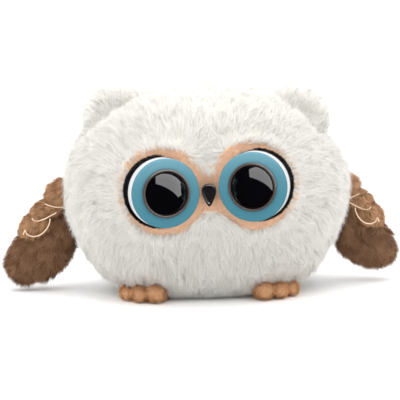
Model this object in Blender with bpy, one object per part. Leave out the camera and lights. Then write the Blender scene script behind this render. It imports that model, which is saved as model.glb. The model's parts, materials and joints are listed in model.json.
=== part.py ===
"""A squat plush owl pet: long white pile over a two-part shell, drum-shaped eyes, flapping wings.

Units in the tables are millimetres. The pet faces -Y, +Z is up and its base rests on z = 0, with the
origin at the middle of the base. Its right side is at -X. The wings hinge on two pins in the shell.
A motor pinion turns a compound gear, whose small gear moves a sliding lifter, and the racks at the
ends of the lifter turn the hubs of the wings.
"""

import math

import bmesh
import bpy
import numpy as np

MM = 0.001
SIDES = (("right", -1), ("left", 1))
GAP = 0.3

# Height and half-width of the fabric surface of the body.
PROFILE = (
    (1.5, 44.0), (4.0, 52.0), (8.0, 60.0), (12.0, 66.0), (20.0, 73.5), (28.0, 79.0), (38.0, 84.5),
    (50.0, 89.5), (62.0, 92.0), (75.0, 92.0), (86.0, 90.5), (94.0, 87.5), (102.0, 83.5),
    (110.0, 78.5), (118.0, 71.0), (126.0, 60.0), (132.0, 47.5), (136.0, 33.0), (138.0, 17.0),
    (138.6, 0.0),
)
DEPTH = 0.76
SQUARENESS = 2.3

# How far in from the fabric surface each layer starts and ends.
PELT_IN = 4.0
STUFFING_OUT = 4.3
STUFFING_IN = 10.7
SHELL_OUT = 11.0
SHELL_IN = 13.0
FRAME_OUT = 13.3
MASK_OUT = -1.9

EYE_X = 26.0
EYE_Y = -86.0
EYE_Z = 75.0
TOE_IN = math.radians(15.0)
EYE_HOLE = 21.8
DRUM_HOLE = 20.0

BEAK_Z = 72.0
BASE_HALF = (46.0, 35.0)

MODULE = 1.0
PRESSURE = math.radians(25.0)
ADDENDUM = 0.8
DEDENDUM = 1.05
BACKLASH = 0.24
HUB_TEETH = 16
SMALL_TEETH = 10
LARGE_TEETH = 28
PINION_TEETH = 9
SHOULDER = (68.0, 75.0)
WING_Y = 12.0
LAYER = (9.5, 14.5)
FRONT_LAYER = (4.0, 8.0)
GEAR_X = 10.0
GEAR_Z = 60.0
PINION_X = GEAR_X + MODULE * (LARGE_TEETH + PINION_TEETH) / 2
PLATE = (17.0, 20.0)

WING_OUTLINE = (
    (94.6, 66.0), (96.0, 71.5), (101.5, 69.2), (107.0, 62.0), (115.0, 53.5), (122.5, 44.5),
    (129.0, 34.5), (134.0, 23.5), (132.5, 13.0), (124.5, 7.5), (113.0, 7.8), (101.5, 12.5),
    (94.5, 20.5), (92.0, 31.0), (92.3, 42.0), (93.6, 54.0),
)
ARM_OUTLINE = (
    (66.0, 71.5), (96.0, 57.2), (105.0, 36.0), (113.0, 22.0), (121.0, 22.0), (123.0, 30.0),
    (112.0, 50.0), (99.5, 64.7), (70.0, 78.9),
)
FOLDS = (
    ("upper", (101.5, 4.0, 65.8), (9.5, 6.0, 6.2)),
    ("middle", (112.0, 4.0, 54.5), (10.0, 6.0, 6.2)),
    ("lower", (121.5, 4.0, 42.5), (10.0, 6.0, 6.2)),
)
TOES = (
    ((34.5, -43.0, 5.3), (6.8, 14.0, 6.0)),
    ((44.8, -38.5, 4.8), (5.8, 14.0, 5.4)),
    ((53.2, -31.0, 4.2), (4.8, 13.0, 4.8)),
    ((44.0, -31.0, 3.6), (13.0, 12.0, 4.4)),
)
SHELL_SCREWS = ((-58.0, 40.0), (58.0, 40.0), (-50.0, 108.0), (50.0, 108.0))
PLATE_POSTS = ((-48.0, 36.0), (48.0, 36.0), (-48.0, 90.0), (48.0, 90.0))
BATTERY_Y = (-15.0, 0.0, 15.0)
BATTERY_Z = 10.8
SPEAKER_Z = 38.0

FINISHES = {
    "pelt": ((0.80, 0.78, 0.74), 0.9, 0.0),
    "wadding": ((0.86, 0.86, 0.84), 0.95, 0.0),
    "peach": ((0.72, 0.48, 0.32), 0.9, 0.0),
    "brown": ((0.24, 0.12, 0.07), 0.9, 0.0),
    "tan": ((0.34, 0.19, 0.11), 0.9, 0.0),
    "black": ((0.01, 0.01, 0.012), 0.12, 0.0),
    "white": ((0.82, 0.82, 0.80), 0.35, 0.0),
    "blue": ((0.14, 0.32, 0.40), 0.4, 0.0),
    "grey": ((0.32, 0.33, 0.34), 0.55, 0.0),
    "ivory": ((0.72, 0.70, 0.64), 0.5, 0.0),
    "amber": ((0.62, 0.36, 0.08), 0.5, 0.0),
    "board": ((0.03, 0.20, 0.09), 0.5, 0.0),
    "steel": ((0.62, 0.62, 0.63), 0.3, 1.0),
    "paper": ((0.06, 0.06, 0.065), 0.8, 0.0),
}


def clear_scene():
    """Remove what the start-up scene holds."""
    for obj in list(bpy.data.objects):
        bpy.data.objects.remove(obj)


def add_mesh(name, points, faces, origin=(0.0, 0.0, 0.0)):
    """Add a closed mesh from points in millimetres, with its origin at the point given."""
    mesh = bpy.data.meshes.new(name)
    shifted = (np.asarray(points, float) - np.asarray(origin, float)) * MM
    mesh.from_pydata(shifted.tolist(), [], faces)
    work = bmesh.new()
    work.from_mesh(mesh)
    bmesh.ops.remove_doubles(work, verts=work.verts, dist=1e-7)
    bmesh.ops.recalc_face_normals(work, faces=work.faces)
    work.to_mesh(mesh)
    work.free()
    obj = bpy.data.objects.new(name, mesh)
    obj.location = [value * MM for value in origin]
    bpy.context.scene.collection.objects.link(obj)
    return obj


def paint(obj, finish):
    """Give a piece its own material and smooth shading."""
    colour, roughness, metallic = FINISHES[finish]
    material = bpy.data.materials.new(obj.name)
    material.use_nodes = True
    shader = material.node_tree.nodes["Principled BSDF"]
    shader.inputs["Base Color"].default_value = (*colour, 1.0)
    shader.inputs["Roughness"].default_value = roughness
    shader.inputs["Metallic"].default_value = metallic
    obj.data.materials.append(material)
    obj.data.polygons.foreach_set("use_smooth", [True] * len(obj.data.polygons))
    obj.data.set_sharp_from_angle(angle=math.radians(35.0))
    return obj


def hide(obj):
    """Mark an object as a cutter, which is no piece of the pet."""
    obj.hide_render = True
    obj.display_type = "WIRE"
    return obj


def combine(obj, operation, *others):
    """Add one exact Boolean to an object for each of the others."""
    for other in others:
        modifier = obj.modifiers.new(other.name, "BOOLEAN")
        modifier.operation = operation
        modifier.solver = "EXACT"
        modifier.object = hide(other)
    return obj


def loft(rings):
    """Points and faces of a skin over rings of equal length, closed by a flat cap at each end."""
    count = len(rings[0])
    points = [point for ring in rings for point in ring]
    faces = [tuple(range(count)), tuple(range(len(points) - count, len(points)))]
    for row in range(len(rings) - 1):
        for first in range(count):
            second = (first + 1) % count
            low = row * count
            high = low + count
            faces.append((low + first, high + first, high + second, low + second))
    return points, faces


def superellipse(half_x, half_y, height, count):
    """A ring of points round the body at one height."""
    ring = []
    for step in range(count):
        angle = 2 * math.pi * step / count
        across = math.copysign(abs(math.cos(angle)) ** (2 / SQUARENESS), math.cos(angle))
        along = math.copysign(abs(math.sin(angle)) ** (2 / SQUARENESS), math.sin(angle))
        ring.append((half_x * across, half_y * along, height))
    return ring


def inset_profile(inset):
    """The body's profile moved in along its normals; a negative inset moves it out."""
    table = np.array(PROFILE)
    slope = np.gradient(table, axis=0)
    slope[0] = table[1] - table[0] + np.array((0.0, table[1][1] - table[0][1]))
    slope[-1] = (0.0, -1.0)
    normal = np.stack([slope[:, 1], -slope[:, 0]], axis=1)
    normal /= np.linalg.norm(normal, axis=1)[:, None]
    moved = table + inset * normal
    moved[:, 1] = np.maximum(moved[:, 1], 0.0)
    moved[-1, 1] = 0.0
    return moved


def body_solid(name, inset, count=36, every=1):
    """The body's form as a closed solid, moved in by the inset."""
    table = inset_profile(inset)
    rows = [row for row in range(len(table)) if row % every == 0 or row == len(table) - 1]
    rings = [
        superellipse(table[row][1], DEPTH * table[row][1], table[row][0], count) for row in rows
    ]
    return add_mesh(name, *loft(rings))


def inner_solid(name, inset):
    """The body's form for the layers inside, which face each other with the same facets."""
    return body_solid(name, inset, 24, 2)


def box(name, low, high):
    """A box between two corners."""
    rings = []
    for height in (low[2], high[2]):
        rings.append([
            (low[0], low[1], height), (high[0], low[1], height),
            (high[0], high[1], height), (low[0], high[1], height),
        ])
    return add_mesh(name, *loft(rings))


def slab(name, outline, front, back, origin=(0.0, 0.0, 0.0)):
    """An outline of (x, z) points made thick along Y."""
    rings = [[(x, depth, z) for x, z in outline] for depth in (front, back)]
    return add_mesh(name, *loft(rings), origin=origin)


def circle(radius, count):
    """Points of a circle round the origin."""
    turns = [2 * math.pi * step / count for step in range(count)]
    return [(radius * math.cos(turn), radius * math.sin(turn)) for turn in turns]


def rod_y(name, x, z, radius, front, back, count=12, origin=(0.0, 0.0, 0.0)):
    """A cylinder along Y."""
    return slab(name, [(x + a, z + b) for a, b in circle(radius, count)], front, back, origin)


def rod_z(name, x, y, radius, low, high, count=12, origin=(0.0, 0.0, 0.0)):
    """A cylinder along Z."""
    rings = [[(x + a, y + b, z) for a, b in circle(radius, count)] for z in (low, high)]
    return add_mesh(name, *loft(rings), origin=origin)


def rod_x(name, y, z, radius, low, high, count=20):
    """A cylinder along X."""
    rings = [[(x, y + a, z + b) for a, b in circle(radius, count)] for x in (low, high)]
    return add_mesh(name, *loft(rings))


def turned(name, outline, centre, axis, count=32):
    """A closed (radius, distance) outline turned round an axis through a centre."""
    axis = np.array(axis) / np.linalg.norm(axis)
    side = np.cross((0.0, 0.0, 1.0), axis)
    if np.linalg.norm(side) < 1e-6:
        side = np.array((1.0, 0.0, 0.0))
    side = side / np.linalg.norm(side)
    other = np.cross(axis, side)
    points = []
    for radius, distance in outline:
        for a, b in circle(radius, count):
            points.append(np.array(centre) + a * side + b * other + distance * axis)
    faces = []
    for row in range(len(outline)):
        low = row * count
        high = (row + 1) % len(outline) * count
        for first in range(count):
            second = (first + 1) % count
            faces.append((low + first, high + first, high + second, low + second))
    return add_mesh(name, points, faces)


def ellipsoid(name, centre, radii, tilt=0.0, count=24, rows=12):
    """An ellipsoid turned about Y through its centre by the tilt in degrees, towards +Z from +X."""
    angle = math.radians(tilt)
    rings = []
    for row in range(rows + 1):
        polar = math.pi * row / rows
        ring = []
        for a, b in circle(math.sin(polar), count):
            x = radii[0] * a
            z = radii[2] * math.cos(polar)
            ring.append((
                centre[0] + x * math.cos(angle) - z * math.sin(angle),
                centre[1] + radii[1] * b,
                centre[2] + x * math.sin(angle) + z * math.cos(angle),
            ))
        rings.append(ring)
    return add_mesh(name, *loft(rings))


def smooth_outline(corners, count):
    """A closed curve of (x, z) points through the corners."""
    table = np.array(corners)
    total = len(table)
    found = []
    for step in range(count):
        place = total * step / count
        row = int(place)
        part = place - row
        before, here, after, beyond = (table[(row + shift) % total] for shift in (-1, 0, 1, 2))
        found.append(tuple(
            0.5 * (2 * here + (after - before) * part
                   + (2 * before - 5 * here + 4 * after - beyond) * part ** 2
                   + (3 * here - before - 3 * after + beyond) * part ** 3)
        ))
    return found


def grown(outline, distance):
    """An outline of (x, z) points, listed counter-clockwise, moved out by a distance."""
    table = np.array(outline)
    ahead = np.roll(table, -1, axis=0) - table
    ahead /= np.linalg.norm(ahead, axis=1)[:, None]
    normal = np.stack([ahead[:, 1], -ahead[:, 0]], axis=1)
    mean = normal + np.roll(normal, 1, axis=0)
    mean /= np.linalg.norm(mean, axis=1)[:, None]
    stretch = np.sum(mean * normal, axis=1)[:, None]
    return [tuple(point) for point in table + distance * mean / stretch]


def gear_outline(teeth, x, z, turn):
    """The outline of a spur gear with one tooth centred on the angle given."""
    pitch = MODULE * teeth / 2
    base = pitch * math.cos(PRESSURE)
    root = pitch - DEDENDUM * MODULE
    tip = pitch + ADDENDUM * MODULE
    half = math.pi / (2 * teeth) - BACKLASH / (4 * pitch) + math.tan(PRESSURE) - PRESSURE
    radii = (root, pitch, tip)
    flank = []
    for radius in radii:
        lean = math.acos(min(1.0, base / radius))
        flank.append((radius, half - (math.tan(lean) - lean)))
    points = []
    for tooth in range(teeth):
        middle = turn + 2 * math.pi * tooth / teeth
        for radius, offset in flank:
            points.append((radius, middle - offset))
        for radius, offset in reversed(flank):
            points.append((radius, middle + offset))
    return [(x + radius * math.cos(a), z + radius * math.sin(a)) for radius, a in points]


def rack_teeth(line, side, gap_z, low, high):
    """Points up the toothed edge of a rack whose teeth point to the side given, +1 or -1."""
    pitch = math.pi * MODULE
    half = pitch / 4 - BACKLASH / 4
    lean = math.tan(PRESSURE)
    points = []
    first = math.ceil((low + pitch / 2 - gap_z) / pitch - 0.5)
    last = math.floor((high - pitch / 2 - gap_z) / pitch - 0.5)
    for number in range(first, last + 1):
        z = gap_z + (number + 0.5) * pitch
        root = half + DEDENDUM * MODULE * lean
        tip = half - ADDENDUM * MODULE * lean
        points.append((line - side * DEDENDUM * MODULE, z - root))
        points.append((line + side * ADDENDUM * MODULE, z - tip))
        points.append((line + side * ADDENDUM * MODULE, z + tip))
        points.append((line - side * DEDENDUM * MODULE, z + root))
    return points


def eye_axis(side):
    """The direction in which an eye looks."""
    return (-side * math.sin(TOE_IN), -math.cos(TOE_IN), 0.0)


def eye_solid(name, side, outline, count=20):
    """A piece turned round the axis of one eye, with distances from the front of the iris."""
    return turned(name, outline, (side * EYE_X, EYE_Y, EYE_Z), eye_axis(side), count)


def eye_rod(name, side, radius, back, front):
    """A cylinder round the axis of one eye."""
    return eye_solid(name, side, ((0, back), (radius, back), (radius, front), (0, front)))


def side_slot(name, side):
    """The slot through which one wing's arm leaves the body."""
    ends = sorted((side * 73.0, side * 104.0))
    return box(name, (ends[0], 8.0, 57.0), (ends[1], 16.0, 84.5))


def base_plug(name, low, high, spare, count=32):
    """The upright outline of the base, made larger by the spare."""
    rings = [superellipse(BASE_HALF[0] + spare, BASE_HALF[1] + spare, z, count) for z in (low, high)]
    return add_mesh(name, *loft(rings))


def outer_cuts(layer):
    """Cutters for what passes through every soft layer: eyes, wings, beak stem and base."""
    cuts = [base_plug(f"{layer}_base_cut", -5.0, 30.0, GAP)]
    cuts.append(rod_y(f"{layer}_beak_cut", 0.0, BEAK_Z, 2.6, -90.0, -45.0))
    for word, side in SIDES:
        cuts.append(eye_rod(f"{layer}_{word}_eye_cut", side, EYE_HOLE, -46.0, 12.0))
        cuts.append(side_slot(f"{layer}_{word}_slot_cut", side))
    return cuts


def build_soft_body():
    """The pelt, the wadding under it, the face mask, the ears and the feet."""
    pelt = body_solid("body_pelt", 0.0)
    combine(pelt, "DIFFERENCE", inner_solid("pelt_inside", PELT_IN), *outer_cuts("pelt"))
    paint(pelt, "pelt")

    wadding = inner_solid("stuffing", STUFFING_OUT)
    combine(wadding, "DIFFERENCE", inner_solid("stuffing_inside", STUFFING_IN))
    combine(wadding, "DIFFERENCE", *outer_cuts("stuffing"))
    combine(wadding, "DIFFERENCE", rod_z("button_pocket", 0.0, 0.0, 12.6, 120.0, 133.2, 20))
    paint(wadding, "wadding")

    mask = body_solid("face_mask", MASK_OUT)
    around = [
        rod_y("mask_outline", -28.5, EYE_Z, 28.0, -95.0, -20.0, 36),
        rod_y("mask_outline_left", 28.5, EYE_Z, 28.0, -95.0, -20.0, 36),
        box("mask_bridge", (-16.0, -95.0, 61.0), (16.0, -20.0, 89.0)),
    ]
    combine(around[0], "UNION", *around[1:])
    combine(mask, "INTERSECT", around[0])
    combine(mask, "DIFFERENCE", body_solid("mask_inside", -GAP), *outer_cuts("mask"))
    paint(mask, "peach")

    for word, side in SIDES:
        ear = ellipsoid(f"{word}_ear", (side * 58.0, -11.0, 114.6), (19.0, 15.0, 17.6), side * -14.0, 20, 10)
        combine(ear, "DIFFERENCE", body_solid(f"{word}_ear_cut", -GAP))
        paint(ear, "pelt")
        build_foot(word, side)


def build_foot(word, side):
    """One foot: toes side by side on a low sole, flat underneath."""
    lobes = [
        ellipsoid(f"{word}_toe_{number}", (side * centre[0], centre[1], centre[2]), radii, 0.0, 14, 8)
        for number, (centre, radii) in enumerate(TOES)
    ]
    foot = ellipsoid(f"{word}_foot", (side * TOES[0][0][0], *TOES[0][0][1:]), TOES[0][1], 0.0, 14, 8)
    bpy.data.objects.remove(lobes[0])
    combine(foot, "UNION", *lobes[1:])
    combine(foot, "DIFFERENCE", box(f"{word}_floor", (-150.0, -150.0, -20.0), (150.0, 150.0, 0.0)))
    combine(foot, "DIFFERENCE", body_solid(f"{word}_foot_cut", -GAP))
    combine(foot, "DIFFERENCE", base_plug(f"{word}_sole_cut", -5.0, 30.0, 2.0))
    paint(foot, "tan")


def build_beak():
    """The beak, a drop with its point down on a stem, and the washer that holds it."""
    drop = []
    for step in range(28):
        angle = 2 * math.pi * step / 28
        z = math.cos(angle)
        width = math.sin(angle) * (1.0 + 0.42 * z)
        drop.append((4.05 * width, 6.5 * z - (1.2 if z < 0 else 0.0) * z * z * 0.6))
    rings = []
    for depth, scale in ((-72.3, 1.0), (-75.0, 1.0), (-77.3, 0.86), (-78.7, 0.62), (-79.3, 0.3)):
        rings.append([(x * scale, depth, BEAK_Z + z * scale) for x, z in drop])
    beak = add_mesh("beak", *loft(rings))
    combine(beak, "UNION", rod_y("beak_stem", 0.0, BEAK_Z, 2.2, -74.0, -54.0))
    paint(beak, "black")
    washer = rod_y("beak_washer", 0.0, BEAK_Z, 5.5, -58.4, -57.0)
    combine(washer, "DIFFERENCE", rod_y("washer_hole", 0.0, BEAK_Z, 2.4, -62.0, -50.0))
    paint(washer, "steel")


def build_eye(word, side):
    """One eye: drum, lash sleeve, iris, bezel, pupil dome and the light board behind it."""
    drum = ((21.0, -2.3), (21.0, -8.5), (19.5, -8.5), (19.5, -40.0), (3.0, -40.0), (3.0, -38.5),
            (16.0, -38.5), (16.0, -16.0), (17.7, -16.0), (17.7, -2.3))
    sleeve = ((19.8, -27.0), (21.4, -27.0), (21.4, -8.8), (19.8, -8.8))
    iris = ((12.6, -2.0), (21.0, -2.0), (21.0, -0.8), (20.2, 0.0), (12.6, 0.0))
    bezel = ((14.7, 0.3), (14.7, 1.3), (14.2, 1.8), (13.4, 1.8), (13.4, 0.8), (11.0, 0.8),
             (11.0, -3.0), (12.3, -3.0), (12.3, 0.3))
    dome = [(0.0, 1.1)]
    for step in range(6):
        rise = math.radians(90.0 * step / 5)
        dome.append((13.1 * math.cos(rise), 1.1 + 6.6 * math.sin(rise)))
    board = ((0.0, -15.7), (17.3, -15.7), (17.3, -14.1), (3.0, -14.1), (2.6, -12.0), (0.0, -11.4))
    pieces = (("eye_drum", drum, "white"), ("lash_sleeve", sleeve, "black"), ("iris", iris, "blue"),
              ("bezel", bezel, "grey"), ("pupil_dome", dome, "black"), ("light_board", board, "board"))
    for name, outline, finish in pieces:
        paint(eye_solid(f"{word}_{name}", side, outline), finish)


def build_eye_frame():
    """The frame inside the shell that carries both drums: a sleeve for each and a plate between."""
    frame = box("eye_frame", (-57.0, -42.0, 66.0), (57.0, -39.0, 84.0))
    for word, side in SIDES:
        seat = eye_rod(f"{word}_seat", side, 23.0, -46.0, -27.6)
        combine(seat, "INTERSECT", inner_solid(f"{word}_seat_limit", FRAME_OUT))
        combine(frame, "UNION", seat)
        combine(frame, "DIFFERENCE", eye_rod(f"{word}_seat_bore", side, 19.9, -40.4, 5.0))
        combine(frame, "DIFFERENCE", rod_y(f"{word}_wire_hole", side * 36.0, EYE_Z, 5.0, -50.0, -30.0))
    paint(frame, "ivory")


def shell_space(name, bosses):
    """The space inside the shell, less the bosses that stand in it."""
    return combine(inner_solid(name, SHELL_IN), "DIFFERENCE", *bosses)


def build_shell():
    """The front and rear halves of the shell, and the screws that join them."""
    posts = [rod_y(f"front_boss_{k}", x, z, 4.2, -80.0, 5.0) for k, (x, z) in enumerate(SHELL_SCREWS)]
    ring = rod_y("speaker_ring", 0.0, SPEAKER_Z, 17.4, -80.0, -37.0, 20)
    combine(ring, "DIFFERENCE", rod_y("speaker_ring_bore", 0.0, SPEAKER_Z, 15.7, -85.0, -30.0, 20))
    front = inner_solid("front_housing", SHELL_OUT)
    combine(front, "DIFFERENCE", shell_space("front_space", [*posts, ring]))
    combine(front, "DIFFERENCE", box("front_split", (-150.0, -0.15, -10.0), (150.0, 150.0, 150.0)))
    combine(front, "DIFFERENCE", base_plug("front_base_cut", -5.0, 30.0, GAP))
    combine(front, "DIFFERENCE", rod_y("front_beak_cut", 0.0, BEAK_Z, 2.6, -90.0, -45.0))
    combine(front, "DIFFERENCE", rod_z("front_button_hole", 0.0, 0.0, 3.2, 110.0, 140.0))
    for word, side in SIDES:
        combine(front, "DIFFERENCE", eye_rod(f"front_{word}_drum_cut", side, DRUM_HOLE, -46.0, 12.0))
        combine(front, "DIFFERENCE", eye_rod(f"front_{word}_sleeve_cut", side, EYE_HOLE, -27.5, 12.0))
    for number in range(3):
        x = 7.0 * (number - 1)
        combine(front, "DIFFERENCE", box(f"sound_slot_{number}", (x - 1.2, -70.0, 30.0), (x + 1.2, -50.0, 46.0)))
    for k, (x, z) in enumerate(SHELL_SCREWS):
        combine(front, "DIFFERENCE", rod_y(f"pilot_{k}", x, z, 1.6, -16.0, 5.0, 16))
    paint(front, "ivory")

    posts = [rod_y(f"rear_boss_{k}", x, z, 4.2, -5.0, 80.0) for k, (x, z) in enumerate(SHELL_SCREWS)]
    for k, (x, z) in enumerate(PLATE_POSTS):
        posts.append(rod_y(f"rear_post_{k}", x, z, 4.0, PLATE[1] + GAP, 80.0))
    rear = inner_solid("rear_housing", SHELL_OUT)
    combine(rear, "DIFFERENCE", shell_space("rear_space", posts))
    combine(rear, "DIFFERENCE", box("rear_split", (-150.0, -150.0, -10.0), (150.0, 0.15, 150.0)))
    combine(rear, "DIFFERENCE", base_plug("rear_base_cut", -5.0, 30.0, GAP))
    combine(rear, "DIFFERENCE", rod_z("rear_button_hole", 0.0, 0.0, 3.2, 110.0, 140.0))
    for word, side in SIDES:
        combine(rear, "DIFFERENCE", side_slot(f"rear_{word}_slot", side))
    for k, (x, z) in enumerate(SHELL_SCREWS):
        combine(rear, "DIFFERENCE", rod_y(f"screw_bore_{k}", x, z, 1.7, -5.0, 80.0, 16))
        combine(rear, "DIFFERENCE", rod_y(f"head_bore_{k}", x, z, 3.0, 5.0, 85.0, 16))
    for k, (x, z) in enumerate(PLATE_POSTS):
        combine(rear, "UNION", rod_y(f"spigot_{k}", x, z, 2.0, 15.8, PLATE[1] + 4.0, 16))
    paint(rear, "ivory")

    for k, (x, z) in enumerate(SHELL_SCREWS):
        screw = rod_y(f"shell_screw_{k + 1}", x, z, 1.4, -13.0, 6.0, 12)
        combine(screw, "UNION", rod_y(f"screw_head_{k}", x, z, 2.7, 5.3, 7.2, 12))
        paint(screw, "steel")


def build_base():
    """The base with its battery bay, the door, the cells, their contacts and the power switch."""
    base = base_plug("base_plate", 0.0, 17.0, 0.0)
    room = base_plug("base_room", 3.0, 40.0, -2.0)
    combine(room, "DIFFERENCE", box("bay_walls", (-30.0, -24.5, -1.0), (30.0, 24.5, 45.0)))
    combine(room, "DIFFERENCE", rod_z("door_boss", 33.0, 0.0, 3.2, 1.0, 9.5))
    combine(base, "DIFFERENCE", room)
    lid = box("bay_top", (-30.0, -24.5, 16.0), (30.0, 24.5, 20.0))
    combine(base, "UNION", lid)
    for k, (x, y) in enumerate(((-26.0, -20.0), (26.0, -20.0), (-26.0, 8.0), (26.0, 8.0))):
        combine(base, "UNION", rod_z(f"board_post_{k}", x, y, 2.5, 19.0, 22.7, 12))
    combine(base, "DIFFERENCE", box("bay_room", (-28.5, -23.0, -1.0), (28.5, 23.0, 18.5)))
    combine(base, "DIFFERENCE", box("tab_room", (20.0, -4.3, -1.0), (36.6, 4.3, 2.2)))
    combine(base, "DIFFERENCE", rod_z("door_pilot", 33.0, 0.0, 1.3, 0.0, 8.0, 12))
    combine(base, "DIFFERENCE", box("switch_window", (-3.4, 27.6, -1.0), (7.4, 32.4, 5.0)))
    paint(base, "grey")

    door = box("battery_door", (-28.1, -22.6, 0.0), (28.1, 22.6, 2.8))
    combine(door, "UNION", box("door_tab", (20.0, -4.0, 0.0), (36.2, 4.0, 1.9)))
    combine(door, "DIFFERENCE", rod_z("tab_hole", 33.0, 0.0, 1.3, -1.0, 5.0, 12))
    combine(door, "DIFFERENCE", rod_z("tab_recess", 33.0, 0.0, 2.4, -1.0, 1.1, 16))
    paint(door, "grey")
    screw = rod_z("door_screw", 33.0, 0.0, 1.1, 0.6, 6.5, 12)
    combine(screw, "UNION", rod_z("door_screw_head", 33.0, 0.0, 2.1, 0.2, 0.95, 12))
    paint(screw, "steel")

    for number, y in enumerate(BATTERY_Y):
        way = 1 if number % 2 else -1
        ends = sorted((way * -25.2, way * 24.2))
        cell = rod_x(f"battery_{number + 1}", y, BATTERY_Z, 7.1, *ends)
        nub = sorted((way * 23.0, way * 25.2))
        combine(cell, "UNION", rod_x(f"battery_nub_{number}", y, BATTERY_Z, 2.7, *nub, 12))
        paint(cell, "paper")
    for word, side in SIDES:
        ends = sorted((side * 27.3, side * 28.1))
        contact = box(f"{word}_contact", (ends[0], -21.5, 5.0), (ends[1], 21.5, 16.5))
        for number, y in enumerate(BATTERY_Y):
            tip = ((0.0, 0.0), (2.9, 0.0), (2.2, 1.7), (0.0, 1.7))
            bump = turned(f"{word}_bump_{number}", tip, (side * 27.5, y, BATTERY_Z), (-side, 0, 0), 12)
            combine(contact, "UNION", bump)
        paint(contact, "steel")

    body = box("switch_body", (-7.0, 26.6, 3.3), (11.0, 31.8, 9.0))
    combine(body, "DIFFERENCE", box("switch_room", (-1.9, 28.6, 2.0), (5.9, 31.0, 7.4)))
    paint(body, "grey")
    knob = box("switch_knob", (-3.0, 28.0, 0.5), (3.0, 32.0, 2.7))
    combine(knob, "UNION", box("knob_stem", (-1.5, 29.0, 2.0), (1.5, 30.6, 6.6)))
    paint(knob, "black")


def build_electronics():
    """The speaker, the main board and the spring button under the crown."""
    rim = ((0.0, -41.6), (15.3, -41.6), (15.3, -40.2), (13.0, -39.0), (9.0, -33.0), (0.0, -33.0))
    frame = turned("speaker_frame", [(r, -d) for r, d in rim], (0, 0, SPEAKER_Z), (0, -1, 0), 20)
    dish = ((0.0, -45.0), (14.3, -45.0), (7.0, -36.4), (0.0, -36.4))
    cut = turned("speaker_dish", [(r, -d) for r, d in dish], (0, 0, SPEAKER_Z), (0, -1, 0), 20)
    combine(frame, "DIFFERENCE", cut)
    paint(frame, "steel")
    paper = ((0.0, -38.1), (5.0, -38.1), (10.0, -42.4), (11.3, -42.4), (6.2, -37.4), (0.0, -37.4))
    cone = turned("speaker_cone", [(r, -d) for r, d in paper], (0, 0, SPEAKER_Z), (0, -1, 0), 20)
    paint(cone, "paper")

    board = box("main_board", (-33.0, -23.5, 23.0), (33.0, 12.0, 24.6))
    for name, low, high in (
        ("chip_large", (-8.0, -10.0, 24.0), (8.0, 4.0, 26.6)),
        ("chip_small", (14.0, -16.0, 24.0), (22.0, -8.0, 26.0)),
        ("wire_socket", (-28.0, -20.0, 24.0), (-18.0, -14.0, 30.0)),
    ):
        combine(board, "UNION", box(name, low, high))
    paint(board, "board")

    button = rod_z("crown_button", 0.0, 0.0, 3.0, 112.0, 131.0)
    combine(button, "UNION", rod_z("button_cap", 0.0, 0.0, 12.0, 129.6, 132.4, 20))
    paint(button, "ivory")


def build_chassis():
    """The upright plate that carries the wing drive, and the fixed pins, axle and motor on it."""
    plate = box("chassis", (-52.6, PLATE[0], 28.0), (52.6, PLATE[1], 96.0))
    ears = box("chassis_ears", (-73.0, PLATE[0], 66.0), (73.0, PLATE[1], 84.0))
    combine(plate, "UNION", ears, rod_y("axle_boss", GEAR_X, GEAR_Z, 3.6, 14.9, 18.0))
    for word, side in SIDES:
        combine(plate, "UNION", rod_y(f"{word}_pin_boss", side * SHOULDER[0], SHOULDER[1], 4.4, 14.9, 18.0))
        for level, low, high in (("upper", 80.0, 90.0), ("lower", 60.0, 66.5)):
            across = sorted((side * 50.3, side * 53.7))
            hook = sorted((side * 50.3, side * 57.0))
            post = box(f"{word}_{level}_guide", (across[0], 6.5, low), (across[1], 18.0, high))
            lip = box(f"{word}_{level}_lip", (hook[0], 6.4, low + 0.1), (hook[1], 9.2, high - 0.1))
            combine(plate, "UNION", post, lip)
        combine(plate, "DIFFERENCE", rod_y(f"{word}_pin_hole", side * SHOULDER[0], SHOULDER[1], 2.6, 10.0, 25.0))
    combine(plate, "DIFFERENCE", rod_y("axle_hole", GEAR_X, GEAR_Z, 1.6, 10.0, 25.0))
    combine(plate, "DIFFERENCE", rod_y("shaft_hole", PINION_X, GEAR_Z, 4.0, 10.0, 25.0))
    for k, (x, z) in enumerate(PLATE_POSTS):
        combine(plate, "DIFFERENCE", rod_y(f"spigot_hole_{k}", x, z, 2.3, 10.0, 25.0))
    paint(plate, "grey")

    for word, side in SIDES:
        pin = rod_y(f"{word}_shoulder_pin", side * SHOULDER[0], SHOULDER[1], 2.5, 8.0, 19.6)
        head = rod_y(f"{word}_pin_head", side * SHOULDER[0], SHOULDER[1], 4.0, 7.2, 9.1)
        paint(combine(pin, "UNION", head), "steel")
    axle = rod_y("gear_axle", GEAR_X, GEAR_Z, 1.5, 2.4, 19.6)
    combine(axle, "UNION", rod_y("axle_head", GEAR_X, GEAR_Z, 2.6, 1.6, 3.6))
    paint(axle, "steel")
    motor = rod_y("wing_motor", PINION_X, GEAR_Z, 10.0, 20.4, 45.0, 20)
    combine(motor, "UNION", rod_y("motor_boss", PINION_X, GEAR_Z, 3.6, 18.4, 22.0))
    combine(motor, "DIFFERENCE", rod_y("motor_bore", PINION_X, GEAR_Z, 1.15, 10.0, 30.0))
    paint(motor, "steel")


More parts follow.
